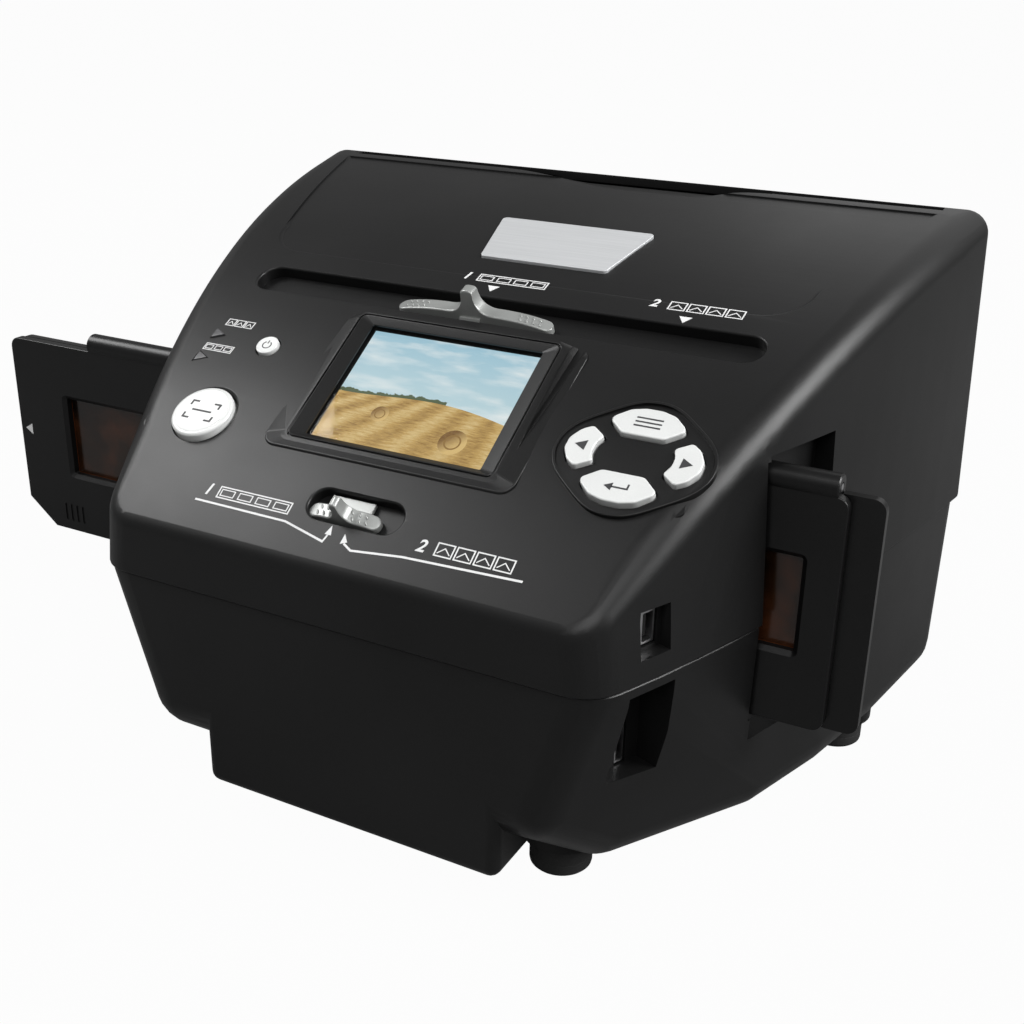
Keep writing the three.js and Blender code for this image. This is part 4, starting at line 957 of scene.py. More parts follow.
def slotCut():
    # the long slot behind the deck, its lips rounded over
    half, y0, y1 = photoSlot["half"], photoSlot["y0"], photoSlot["y1"]
    levels = [(0.0, -photoSlot["through"]), (0.0, -0.9), (0.12, -0.5), (0.4, -0.18), (0.8, -0.02),
              (1.0, overrun)]
    return loft([followDeck(box(-half - grow, y0 - grow, half + grow, y1 + grow), lift)
                 for grow, lift in levels])


def boardPosts(panel, places):
    return [placed(bar(postRadius, (u, v, -wall / 2), (u, v, keyBoardTop + seat), 24), panel)
            for u, v in places]


def makeUpperCasing(outer):
    c = casing
    farTop = c["farTop"]
    hollow = combine(outer.copy(), [upperHull(wall)])
    print("upper hollow", len(hollow.faces))
    floor = scoop["floor"] - wall
    backing = [wallCut(pocket, wall), flipped(wallCut(pocket, wall)), wallCut(usbRecess, wall),
               channel(longSlot, wall), channel(shortSlot, wall),
               loft([at(scoopOutline()(wall), floor), at(scoopOutline()(wall), farTop)])]
    backing += [bar(screw["post"], (x, y, c["partingHigh"]), (x, y, farTop), 32) for x, y in screw["places"]]
    inside = combine(joined(backing), [outer.copy()], "INTERSECT")
    rim = raised(lambda grow: surroundOutline(grow + surround["wide"]), -wall / 2, surround["proud"], 0.3)
    rim = combine(rim, [loft([at(surroundOutline(0.0), -wall), at(surroundOutline(0.0), overrun)])])
    posts = boardPosts(leftPanel, [(-11, -18), (12, 3)])
    posts += boardPosts(rightPanel, [(0, 0), (-14.3, 11.7), (14.3, -12)])
    whole = joined([hollow, inside, placed(rim, rightPanel)] + posts)
    print("upper whole", len(whole.faces))
    scan = circle(scanKey["radius"] + fitGap)
    power = circle(powerKey["radius"] + fitGap, 40)
    tube = rounded(2 * (bezelTube["half"] + fitGap), 2 * (bezelTube["tall"] + fitGap), 0.6, 3)
    badge = plateOutline()
    tools = [deckRecess(), scoopCut(), slotCut(),
             placed(loft([at(badge(seat), -recess["depth"] - plate["depth"]), at(badge(seat), overrun)]),
                    onDeck(plate["x"], plate["y"])),
             wallFlare(pocket, 1.4), flipped(wallFlare(pocket, 1.4)), passageCut(), flipped(passageCut()),
             wallFlare(usbRecess, 0.6), socketRoom(usbSocket),
             placed(loft([at(tube(0.0), -throughDeck), at(tube(0.0), throughDeck)]), onScreen),
             onPanel(sunk(scan, -throughDeck, scanKey["rim"]), leftPanel, scanKey["u"], scanKey["v"]),
             onPanel(sunk(power, -throughDeck, powerKey["rim"]), leftPanel, powerKey["u"], powerKey["v"]),
             channel(longSlot, rim=0.7), channel(shortSlot, rim=0.7), stemCut(longSlot, longLever),
             stemCut(shortSlot, shortLever)]
    for v in lights["high"]:
        hole = sunk(triangle(lights["side"] + 2 * fitGap), -overrun, 0.2)
        tools.append(onPanel(hole, leftPanel, lights["u"], v))
    for quarter in range(4):
        grown = keyOutline(quarter)
        tools.append(placed(sunk(lambda grow, cut=grown: cut(grow + fitGap), -overrun, 0.25), rightPanel))
    tools += [bar(screw["radius"] + seat, (x, y, 0), (x, y, screw["top"] + seat), 24)
              for x, y in screw["places"]]
    whole = combine(whole, tools)
    print("upper casing", len(whole.faces))
    return newPiece("upperCasing", whole, casingPlastic, "casing", ["upper_shell"])


def makeLowerCasing(outer):
    c = casing
    front = c["frontY"] + c["lowerInset"]
    apron = block(skirt["left"], skirt["right"], front, front + skirt["depth"], skirt["bottom"], skirt["top"],
                  skirt["radius"], 5)
    bosses = [bar(foot["boss"], (x, y, foot["bossLow"]), (x, y, c["underside"] + foot["boss"]), 48)
              for x, y in foot["places"]]
    whole = joined([outer.copy(), apron] + bosses)
    inner = lowerHull(wall)
    backing = [wallCut(pocket, wall), flipped(wallCut(pocket, wall)), wallCut(cardRecess, wall)]
    backing += [bar(screw["post"], (x, y, 0), (x, y, c["farTop"]), 32) for x, y in screw["places"]]
    inside = combine(joined(backing), [outer], "INTERSECT")
    whole = joined([combine(whole, [inner]), inside])
    tools = [wallFlare(pocket, 1.4), flipped(wallFlare(pocket, 1.4)), passageCut(), flipped(passageCut()),
             wallFlare(cardRecess, 0.8), socketRoom(cardSocket)]
    for x, y in screw["places"]:
        tools.append(bar(screw["radius"] + seat, (x, y, 0), (x, y, c["farTop"]), 24))
        tools.append(bar(screw["counterbore"], (x, y, -overrun), (x, y, screw["at"] + seat), 32))
    tools += [bar(foot["radius"] + seat, (x, y, -overrun), (x, y, foot["pocket"]), 48)
              for x, y in foot["places"]]
    whole = combine(whole, tools)
    print("lower casing", len(whole.faces))
    return newPiece("lowerCasing", whole, lowerPlastic, "casing", ["lower_shell"])


makeUpperCasing(upperOuter)
makeLowerCasing(lowerOuter)

# Screen: a frame lying on the deck, a clear window, and the lit panel behind it

screenFrame = dict(outer=(-34.0, 35.2, -25.3, 24.0), band=(-28.5, 28.5, -20.4, 20.8), edge=0.35, rise=0.95,
                   lean=0.35, groove=0.4, lip=0.1, gap=0.12, corner=3.6, bandCorner=1.6,
                   fin=dict(low=-14.5, high=25.0, inner=31.2, spread=3.6, deep=2.4, steps=14))
screenStack = dict(under=-0.3, paneTop=-0.6, pane=1.2, panelTop=-2.1, panel=3.1)


def offsetBox(bounds, corner, steps=6):
    left, right, low, high = bounds
    outline = rounded(right - left, high - low, corner, steps)
    return lambda grow: [(x + (left + right) / 2, y + (low + high) / 2) for x, y in outline(grow)]


def makeScreenFrame():
    f, s = screenFrame, screenStack
    t = bezelTube
    slope = math.cos(screenSlope)
    outer, band = offsetBox(f["outer"], f["corner"]), offsetBox(f["band"], f["bandCorner"])
    picture = rounded(screenSize["wide"], screenSize["tall"], 0.4, 6)
    inside = rounded(2 * (t["half"] - t["wall"]), 2 * (t["tall"] - t["wall"]), 0.4, 6)
    tube = rounded(2 * t["half"], 2 * t["tall"], 0.6, 6)

    def onDeckRing(points, lift):
        return [Vector((u, v * slope, deckHigh(v * slope) + lift)) for u, v in points]

    def ring(points, high):
        return [onScreen @ Vector((u, v, high(v) if callable(high) else high)) for u, v in points]

    def bandHigh(v):
        return f["rise"] + f["lean"] * (1 - v / 20.0) / 2

    def under(drop):
        return lambda v: bandHigh(v) - drop

    rings = [onDeckRing(outer(0.0), f["gap"]), onDeckRing(outer(0.0), f["edge"]),
             onDeckRing(outer(-0.12), f["edge"] + 0.16), onDeckRing(outer(-0.35), f["edge"] + 0.24),
             ring(band(1.3), under(0.1)), ring(band(0.55), bandHigh), ring(band(0.4), under(0.06)),
             ring(band(0.35), under(f["groove"])), ring(band(0.0), under(f["groove"])),
             ring(band(-0.03), under(0.08)), ring(band(-0.15), bandHigh), ring(band(-0.35), bandHigh),
             ring(picture(0.2), f["lip"] + 0.12), ring(picture(0.0), f["lip"]),
             ring(picture(0.0), s["under"]), ring(inside(0.0), s["under"]), ring(inside(0.0), t["low"]),
             ring(tube(0.0), t["low"]), onDeckRing(tube(0.0), f["gap"])]
    whole = loft(rings, closed=True)
    fin = f["fin"]
    cuts = []
    for i in range(fin["steps"] + 1):
        share = i / fin["steps"]
        v = fin["low"] + (fin["high"] - fin["low"]) * share
        wide, deep = 0.15 + fin["spread"] * share, 0.02 + fin["deep"] * share
        a, b = fin["inner"] - 0.5 * share, fin["inner"] - 0.5 * share + wide
        top = 1.6 - 2.2 * share
        cuts.append([onScreen @ Vector(point) for point in (
            (a - 0.5 * share, v, overrun), (a, v, top), (a + wide * 0.3, v, top - deep),
            (a + wide * 0.5, v, top - deep * 1.05), (b, v, top - deep * 0.45), (b + 0.35, v, overrun))])
    whole = combine(whole, [loft(cuts)])
    newPiece("screenFrame", whole, framePlastic, "casing", ["screen_bezel"])


def makeScreen():
    s = screenStack
    half = bezelTube["half"] - bezelTube["wall"] - seat
    tall = bezelTube["tall"] - bezelTube["wall"] - seat
    pane = block(-half, half, -tall, tall, s["paneTop"] - s["pane"], s["paneTop"], 0.12, 2)
    newPiece("screenPane", placed(pane, onScreen), screenGlass, "casing", ["screen_window"])
    panel = block(-half, half, -tall, tall, s["panelTop"] - s["panel"], s["panelTop"], 0.15, 2)
    middle = toRow @ onScreen @ Vector((0, 0, s["panelTop"]))
    place = dict(middle=tuple(middle), slope=screenSlope, bales=[(-0.2, -0.19, 0.065), (0.26, -0.3, 0.1)])
    picture = makePicture("screenPicture", place, screenSize["wide"], screenSize["tall"])
    newPiece("screenPanel", placed(panel, onScreen), picture, "casing", ["screen_panel"])


# Keys: silver caps with a foot under the deck and a stem down to the board

# shares of the radius and the dome: a rounded edge, a fine groove and a flat middle
capShape = [(1.0, -1.0), (0.992, -0.62), (0.965, -0.28), (0.93, -0.09), (0.895, -0.01), (0.88, 0.0),
            (0.872, -0.09), (0.86, -0.09), (0.852, 0.0), (0.82, -0.04), (0.78, -0.1), (0.74, -0.12),
            (0.4, -0.12), (0.0, -0.12)]


def keyPost(u, v):
    return bar(stem["radius"], (u, v, flange["top"] - seat), (u, v, stem["end"]), 24)


def makeRoundKey(name, key, panel, body, replaced):
    r = key["radius"]
    profile = [(0.0, flange["top"] - flange["thick"]), (r + flange["wide"], flange["top"] - flange["thick"]),
               (r + flange["wide"], flange["top"]), (r, flange["top"])]
    profile += [(r * out, key["proud"] + drop * key["dome"]) for out, drop in capShape]
    cap = combine(spun(profile), [keyPost(0, 0)], "UNION")
    place = panel @ Matrix.Translation((key["u"], key["v"], 0))
    newPiece(name, placed(cap, place), silverLacquer, body, [replaced])
    return place @ Matrix.Translation((0, 0, key["proud"] + capShape[-1][1] * key["dome"]))


def makeRingKeys():
    for quarter, side in enumerate(["right", "mode", "left", "enter"]):
        outline = keyOutline(quarter)
        angle = quarter * math.pi / 2
        u = keyRing["u"] + keyRing["stemU"] * math.cos(angle)
        v = keyRing["v"] + keyRing["stemV"] * math.sin(angle)
        cap = raised(outline, flange["top"] - seat, keyRing["proud"], keyRing["rim"], 5)
        foot = loft([at(outline(flange["wide"] / 2), flange["top"] - flange["thick"]),
                     at(outline(flange["wide"] / 2), flange["top"])])
        whole = placed(joined([cap, foot, keyPost(u, v)]), rightPanel)
        newPiece(side + "Key", whole, silverLacquer, side + "_key", [side + "_button"])


def makeLights():
    for v, name in zip(lights["high"], ("photo", "film")):
        pipe = raised(triangle(lights["side"]), keyBoardTop + seat, lights["proud"], 0.12, 2)
        newPiece(name + "Light", onPanel(pipe, leftPanel, lights["u"], v), smokedPipe, "casing",
                 [name + "_light"])


# Signs: thin raised ink on the deck and the keys, in place of any lettering

ink = dict(thick=0.05, sunk=-0.03, line=0.42, fine=0.32, number=4.4, bold=0.09, scan=0.55,
           power=0.3)


def stroke(path, wide, spot, closed=False):
    # a thin ribbon through points (x, y), which spot(x, y) puts on a surface
    points = [Vector(p) for p in path]
    count = len(points)
    rings = []
    for i, point in enumerate(points):
        before = points[i - 1] if closed or i else point
        after = points[(i + 1) % count] if closed or i < count - 1 else point
        first, second = (point - before).normalized(), (after - point).normalized()
        along = (first + second).normalized() if (first + second).length > 1e-6 else second
        side = Vector((-along.y, along.x))
        fit = max(0.5, abs(side.dot(Vector((-second.y, second.x)))) if second.length else 1.0)
        reach = side * (wide / 2 / fit)
        rings.append([spot(point - reach, ink["sunk"]), spot(point + reach, ink["sunk"]),
                      spot(point + reach, ink["thick"]), spot(point - reach, ink["thick"])])
    return loft(rings, closed=closed)


def patch(points, spot):
    return loft([[spot(Vector(p), lift) for p in points] for lift in (ink["sunk"], ink["thick"])])


def onDeckSpot(point, lift):
    along = deckSlope(point.y)
    return Vector((point.x, point.y - math.sin(along) * lift, deckHigh(point.y) + math.cos(along) * lift))


def spotAt(x, y):
    # places a sign drawn round its own middle on the deck, along the slope
    slope = math.cos(deckSlope(y))
    return lambda point, lift: onDeckSpot(Vector((x + point.x, y + point.y * slope)), lift)


def onPlane(matrix):
    return lambda point, lift: matrix @ Vector((point.x, point.y, lift))


def gathered(parts):
    # several loose bodies in one mesh, without joining them
    whole = bmesh.new()
    for part in parts:
        mesh = bpy.data.meshes.new("work")
        part.to_mesh(mesh)
        part.free()
        whole.from_mesh(mesh)
        bpy.data.meshes.remove(mesh)
    return whole


def filmSign(spot, wide, tall, frames, line):
    # a strip of film: a frame round it and a window for each picture
    parts = [stroke(box(-wide / 2, -tall / 2, wide / 2, tall / 2), line, spot, True)]
    step = wide / frames
    inner = tall * 0.28
    for i in range(frames):
        left = -wide / 2 + i * step
        window = box(left + step * 0.14, -inner, left + step * 0.86, inner)
        parts.append(stroke(window, line * 0.8, spot, True))
    return parts


def photoSign(spot, wide, tall, cards, line):
    # photo cards with a small hill on each
    parts = []
    step = wide / cards
    for i in range(cards):
        left, right = -wide / 2 + i * step + step * 0.08, -wide / 2 + (i + 1) * step - step * 0.08
        middle = (left + right) / 2
        parts.append(stroke(box(left, -tall / 2, right, tall / 2), line, spot, True))
        hill = [(left + tall * 0.16, -tall * 0.3), (middle, tall * 0.16), (right - tall * 0.16, -tall * 0.3)]
        parts.append(stroke(hill, line * 0.8, spot))
    return parts


def numeral(body, size, spot):
    curve = bpy.data.curves.new("numeral", "FONT")
    curve.body = body
    curve.size = size
    curve.align_x = "CENTER"
    curve.align_y = "CENTER"
    curve.extrude = ink["thick"]
    curve.offset = ink["bold"]
    curve.shear = 0.2
    made = bpy.data.objects.new("numeral", curve)
    scene.collection.objects.link(made)
    bpy.context.view_layer.update()
    mesh = meshOf(made)
    bm = bmesh.new()
    bm.from_mesh(mesh)
    bmesh.ops.remove_doubles(bm, verts=bm.verts, dist=1e-5)
    bpy.data.meshes.remove(mesh)
    bpy.data.objects.remove(made)
    bpy.data.curves.remove(curve)
    for vert in bm.verts:
        vert.co = spot(Vector((vert.co.x, vert.co.y)), vert.co.z)
    return bm


def arrow(tip, tail, wide):
    tip, tail = Vector(tip), Vector(tail)
    along = (tip - tail).normalized()
    side = Vector((-along.y, along.x)) * wide / 2
    back = tip - along * wide * 1.15
    return [tuple(back - side), tuple(tip), tuple(back + side)]


def makeDeckSigns():
    line, fine = ink["line"], ink["fine"]
    parts = []
    # leader lines from the two lower signs to the short lever's places
    parts.append(stroke([(-42.3, -36.3), (-15.5, -36.4), (-3.6, -38.5), (-3.1, -37.0)], line, onDeckSpot))
    parts.append(patch(arrow((-3.1, -35.0), (-3.1, -37.4), 1.7), onDeckSpot))
    parts.append(stroke([(47.0, -36.8), (17.4, -37.7), (4.4, -38.9), (1.9, -37.9)], line, onDeckSpot))
    parts.append(patch(arrow((1.1, -36.0), (1.9, -38.1), 1.7), onDeckSpot))
    number = ink["number"]
    parts += filmSign(spotAt(-26.5, -33.7), 21.0, 3.0, 4, fine)
    parts.append(numeral("1", number, spotAt(-40.2, -33.7)))
    parts += photoSign(spotAt(34.0, -34.6), 20.0, 3.2, 4, fine)
    parts.append(numeral("2", number, spotAt(20.6, -34.8)))
    # the long lever's two places
    for x, y in ((-1.9, 37.0), (52.2, 35.6)):
        parts.append(patch([(x - 1.7, y + 1.2), (x, y - 1.1), (x + 1.7, y + 1.2)], onDeckSpot))
    parts += filmSign(spotAt(2.0, 41.0), 20.0, 3.0, 4, fine)
    parts.append(numeral("1", number, spotAt(-11.6, 41.0)))
    parts += photoSign(spotAt(56.0, 40.4), 20.0, 3.2, 4, fine)
    parts.append(numeral("2", number, spotAt(42.4, 40.4)))
    # beside the lights
    parts += photoSign(spotAt(-64.0, 10.6), 9.0, 2.4, 3, fine * 0.8)
    parts += filmSign(spotAt(-64.6, 1.8), 9.0, 2.3, 3, fine * 0.8)
    newPiece("deckSigns", gathered(parts), whiteInk, "casing", sharp=20.0)


def makeKeySigns(scanTop, powerTop):
    spot, line = onPlane(scanTop), ink["scan"]
    brackets = [stroke([(u * 4.3, v * 1.3), (u * 4.3, v * 2.8), (u * 2.4, v * 2.8)], line, spot)
              for u in (-1, 1) for v in (-1, 1)]
    brackets.append(stroke([(-3.0, 0.0), (3.0, 0.0)], line, spot))
    newPiece("scanSign", gathered(brackets), darkInk, "scan_key", sharp=20.0)
    spot, line = onPlane(powerTop), ink["power"]
    power = [stroke(arc(0, -0.1, 1.2, 125, 415, 20), line, spot), stroke([(0, 0.4), (0, 1.5)], line, spot)]
    newPiece("powerSign", gathered(power), darkInk, "power_key", sharp=20.0)
    top = onPlane(rightPanel @ Matrix.Translation((0, 0, keyRing["proud"])))
    midU, midV = keyRing["stemU"], keyRing["stemV"]

    def shifted(points, u, v):
        return [(keyRing["u"] + u + x, keyRing["v"] + v + y) for x, y in points]
    right = shifted([(-1.2, -1.5), (1.5, 0.0), (-1.2, 1.5)], midU + 0.3, 0)
    newPiece("rightSign", patch(right, top), darkInk, "right_key")
    left = shifted([(1.2, 1.5), (-1.5, 0.0), (1.2, -1.5)], -midU - 0.3, 0)
    newPiece("leftSign", patch(left, top), darkInk, "left_key")
    rows = [stroke(shifted([(-3.2, h), (3.2, h)], 0, midV), ink["line"], top) for h in (-1.2, 0.0, 1.2)]
    newPiece("modeSign", gathered(rows), darkInk, "mode_key", sharp=20.0)
    turn = [stroke(shifted([(2.6, 1.1), (2.6, -0.3), (-1.4, -0.3)], 0, -midV), ink["line"], top),
            patch(shifted([(-1.0, -1.4), (-1.0, 0.8), (-2.9, -0.3)], 0, -midV), top)]
    newPiece("enterSign", gathered(turn), darkInk, "enter_key", sharp=20.0)

# Levers: a long low bar with rounded ends and a fin in the middle

carriageTop = 99.0
cam = dict(half=8.0, y0=-32.0, y1=-22.0, low=84.6, high=86.2, pinY=-26.0, pinRadius=1.2, focus=1.2)
leverRound = dict(edge=0.45, narrow=0.25, steps=18, tipSoft=1.0, side=0.15)
leverBumps = dict(rows=(-0.8, 0.8), first=3.0, shift=0.5, pitch=1.8, radius=0.52, rise=0.42)


def quadratic(a, b, c, steps):
    a, b, c = Vector(a), Vector(b), Vector(c)
    return [a.lerp(b, i / steps).lerp(b.lerp(c, i / steps), i / steps) for i in range(steps + 1)]


def leverStations(form):
    half, foot, flat = form["long"] / 2, form["foot"], form["long"] / 2 * 0.7
    steps, shoulder = leverRound["steps"], form["shoulder"]
    side, tip = form["tipHalf"], form["tip"]
    soft = tip - leverRound["tipSoft"]
    ends = quadratic((half, form["end"]), (flat, shoulder), (foot, shoulder), steps)
    rise = quadratic((foot, shoulder), (side, shoulder), (side, soft), steps)
    top = quadratic((side, soft), (side, tip), (0.0, tip), 8)
    right = ends + rise[1:] + top[1:]
    return [Vector((-p.x, p.y)) for p in right] + [p for p in reversed(right[:-1])]


def makeLeverBody(form, slot):
    radius = form["wide"] / 2 - leverRound["side"]
    straight = form["long"] / 2 - radius
    stations = leverStations(form)
    tight = [Vector((-form["long"] / 2 + 0.02, form["end"] * 0.8))]
    for i in range(1, 8):
        angle = math.pi / 2 * i / 8
        tight.append(Vector((-straight - radius * math.cos(angle), form["end"])))
    inner = [p for p in stations if abs(p.x) < straight]
    left = [Vector((p.x, max(p.y, nearHigh(stations, p.x)))) for p in tight]
    ordered = left + inner + [Vector((-p.x, p.y)) for p in reversed(left)]
    rings = []
    for p in ordered:
        over = max(0.0, abs(p.x) - straight)
        wide = form["wide"] / 2 * math.sqrt(max(0.0, 1 - (over / (radius + 0.03)) ** 2)) + 0.01
        share = max(0.0, (p.y - form["shoulder"]) / (form["tip"] - form["shoulder"]))
        topWide = wide * (1 - leverRound["narrow"] * share)
        r = min(leverRound["edge"], p.y * 0.42, topWide * 0.6)
        ring = [(-wide, 0.0), (wide, 0.0)]
        ring += arc(topWide - r, p.y - r, r, 0, 90, 5) + arc(-topWide + r, p.y - r, r, 90, 180, 5)
        rings.append([Vector((p.x, y, z)) for y, z in ring])
    whole = loft(rings)
    for dot in leverDots(form, stations):
        whole = combine(whole, [dot], "UNION")
    if form["plate"]:
        half, v0, v1, thick = form["plate"]
        sheet = block(-half, half, v0 - form["v"], v1 - form["v"], 0.0, thick, 0.2, 2)
        whole = combine(whole, [sheet], "UNION")
    shift = Matrix.Translation((form["x"] - slot["x"], form["v"], seat - slot["depth"]))
    return placed(whole, onDeck(slot["x"], slot["y"]) @ shift)


def leverDots(form, stations):
    # slanting grip bumps in two rows at both ends
    b = leverBumps
    slant = Matrix.Rotation(0.5, 4, "Z")
    size = Matrix.Diagonal((b["radius"] * 0.55, b["radius"] * 1.35, b["rise"], 1))
    dots = []
    for side in (-1, 1):
        for row in b["rows"]:
            for i in range(form["bumps"]):
                shift = b["shift"] if row > 0 else 0.0
                x = side * (form["long"] / 2 - b["first"] - i * b["pitch"] - shift)
                dot = bmesh.new()
                place = Matrix.Translation((x, row, nearHigh(stations, x))) @ slant @ size
                bmesh.ops.create_uvsphere(dot, u_segments=14, v_segments=8, radius=1.0, matrix=place)
                dots.append(dot)
    return dots


def nearHigh(stations, x):
    for a, b in zip(stations, stations[1:]):
        if a.x <= x <= b.x and b.x > a.x:
            return a.y + (b.y - a.y) * (x - a.x) / (b.x - a.x)
    return stations[0].y


def leverStalk(lever, low, drop, rounding):
    y, half, thick = lever["stem"]
    return block(lever["x"] - half, lever["x"] + half, y - thick / 2, y + thick / 2, low,
                 deckHigh(y) - drop, rounding, 2)


def makeLevers():
    stalk = leverStalk(longLever, carriageTop + wall + seat, 1.0, 0.2)
    whole = combine(makeLeverBody(longLever, longSlot), [stalk], "UNION")
    newPiece("backlightLever", whole, leverLacquer, "backlight", ["backlight_lever"])
    stalk = leverStalk(shortLever, cam["low"], 2.4, 0.15)
    sheet = block(-cam["half"], cam["half"], cam["y0"], cam["y1"], cam["low"], cam["high"], 0.25, 2)
    run = math.hypot(shortSlot["travel"], cam["focus"])
    wide = 2 * (cam["pinRadius"] + seat)
    outline = rounded(run + wide, wide, wide / 2 - 0.03, 8)(0.0)
    middle = Matrix.Translation((-shortSlot["travel"] / 2, cam["pinY"] + cam["focus"] / 2, 0))
    turn = Matrix.Rotation(math.atan2(-cam["focus"], shortSlot["travel"]), 4, "Z")
    groove = placed(loft([at(outline, cam["low"] - 3.0), at(outline, cam["high"] + 3.0)]), middle @ turn)
    whole = combine(makeLeverBody(shortLever, shortSlot), [stalk, sheet], "UNION")
    newPiece("focusLever", combine(whole, [groove]), leverLacquer, "focus", ["focus_lever"])


# Film holder: two leaves hinged on a barrel along their upper edge, with the strip between them

holderEdge = dict(rim=0.35, windowRise=0.9, windowCorner=0.5, mark=(-146.9, -149.7, 1.7),
                  grip=dict(x=-136.8, up=3.2, wide=1.1, pitch=2.3, count=4, tall=5.6, deep=0.3))


def leafOutline(left, right):
    h = holder
    c, (side, rise) = h["corner"], h["chamfer"]

    def outline(grow):
        r = c + grow
        l, rt, low, top = left - grow, right + grow, h["bottom"] - grow, h["top"] + grow
        corners = [(l + side, low), (rt - r, low)] + arc(rt - r, low + r, r, -90, 0, 6)[1:]
        corners += arc(rt - r, top - r, r, 0, 90, 6) + arc(l + r, top - r, r, 90, 180, 6)
        return corners + [(l, low + rise)]
    return outline


def standing(bm, y, back=False):
    # turns a form drawn in x and z up from y = 0 to face the front, or the rear
    if back:
        turned = placed(bm, Matrix(((1, 0, 0, 0), (0, 0, 1, y), (0, 1, 0, 0), (0, 0, 0, 1))))
        bmesh.ops.reverse_faces(turned, faces=turned.faces)
        return turned
    return placed(bm, Matrix(((1, 0, 0, 0), (0, 0, -1, y), (0, 1, 0, 0), (0, 0, 0, 1))))


def leafWindow(i, grow, rise):
    h = holder
    x = (i - h["frames"] / 2) * h["pitch"]
    wide, tall = h["window"]
    sides = (x - wide / 2, x + wide / 2, h["optical"] - tall / 2, h["optical"] + tall / 2)
    outline = offsetBox(sides, holderEdge["windowCorner"], 3)
    return [at(outline(0.0), -overrun), at(outline(0.0), h["thick"] - rise), at(outline(grow), h["thick"]),
            at(outline(grow), h["thick"] + overrun)]


def knuckle(left, right, grow=0.0):
    high = holder["top"] + barrel["drop"]
    radius, soft, long = barrel["radius"] + grow, barrel["soft"], right - left
    profile = [(0.0, 0.0), (radius - soft, 0.0), (radius, soft), (radius, long - soft),
               (radius - soft, long), (0.0, long)]
    turn = Matrix.Translation((left, holder["y"], high)) @ Matrix.Rotation(math.pi / 2, 4, "Y")
    return placed(spun(profile, 48), turn)


def makeHolder():
    h, e = holder, holderEdge
    frontBack, backFront = h["y"] - seat / 2, h["y"] + seat / 2
    high = h["top"] + barrel["drop"]
    midLeft, midRight = barrel["middle"]
    pinRoom = (barrel["pin"] + seat, (barrel["left"] - overrun, h["y"], high),
               (barrel["right"] + overrun, h["y"], high), 20)
    leaf = raised(leafOutline(h["left"], h["frontRight"]), 0.0, h["thick"], e["rim"], 3)
    front = combine(standing(leaf, frontBack), [knuckle(midLeft, midRight, seat)])
    front = joined([front, knuckle(barrel["left"], midLeft), knuckle(midRight, barrel["right"])])
    cuts = [leafWindow(i, h["bevel"], e["windowRise"]) for i in range(h["frames"])]
    grip = e["grip"]
    for i in range(grip["count"]):
        x, low = grip["x"] + i * grip["pitch"], h["bottom"] + grip["up"]
        groove = offsetBox((x, x + grip["wide"], low, low + grip["tall"]), 0.5, 4)(0.0)
        cuts.append([at(groove, h["thick"] - grip["deep"]), at(groove, h["thick"] + 3.0)])
    front = combine(front, [standing(loft(cut), frontBack) for cut in cuts] + [bar(*pinRoom)])
    newPiece("holderFront", front, holderPlastic, "film_holder", ["holder_front"])
    leaf = raised(leafOutline(h["left"] + h["step"], h["backRight"]), 0.0, h["thick"], e["rim"], 3)
    back = combine(standing(leaf, backFront, True), [knuckle(barrel["left"] - seat, midLeft + seat, seat),
                                                     knuckle(midRight - seat, barrel["right"] + seat, seat)])
    back = joined([back, knuckle(midLeft + seat, midRight - seat)])
    ends = (-(h["frames"] / 2 + 0.5) * h["pitch"], (h["frames"] / 2 - 0.5) * h["pitch"])
    tall = h["filmTall"] / 2
    bed = block(ends[0] - seat, ends[1] + seat, backFront - overrun, backFront + h["filmThick"] + seat,
                h["optical"] - tall - seat, h["optical"] + tall + seat)
    rear = [standing(loft(leafWindow(i, h["bevel"], e["windowRise"])), backFront, True)
            for i in range(h["frames"])]
    back = combine(back, [bed, bar(*pinRoom)] + rear)
    newPiece("holderBack", back, holderPlastic, "film_holder", ["holder_back"])
    first = toRow @ Vector((ends[0], 0, 0))
    pictureTall = h["window"][1]
    low = toRow @ Vector((0, 0, h["optical"] - pictureTall / 2))
    film = makeFilm("negativeStrip", dict(first=first.x, pitch=h["pitch"] * mm, edge=0.026, low=low.z,
                                          high=low.z + pictureTall * mm))
    strip = block(ends[0], ends[1], backFront, backFront + h["filmThick"],
                  h["optical"] - tall, h["optical"] + tall)
    newPiece("filmStrip", strip, film, "film_holder", ["film_strip"])
    wideX, tipX, half = e["mark"]
    mark = [(wideX, h["optical"] + half), (tipX, h["optical"]), (wideX, h["optical"] - half)]
    face = frontBack - h["thick"]
    sign = loft([[Vector((x, face - lift, z)) for x, z in mark] for lift in (ink["sunk"], ink["thick"])])
    newPiece("holderArrow", sign, whiteInk, "film_holder")


# Sockets, feet, screws and the plate

mouthForm = dict(deep=6.0, wall=0.8)
tongue = dict(back=5.9, front=0.9, thin=0.9, inset=1.6)
contact = dict(count=5, back=5.0, front=1.4, margin=0.5, proud=0.06, sunk=0.02)


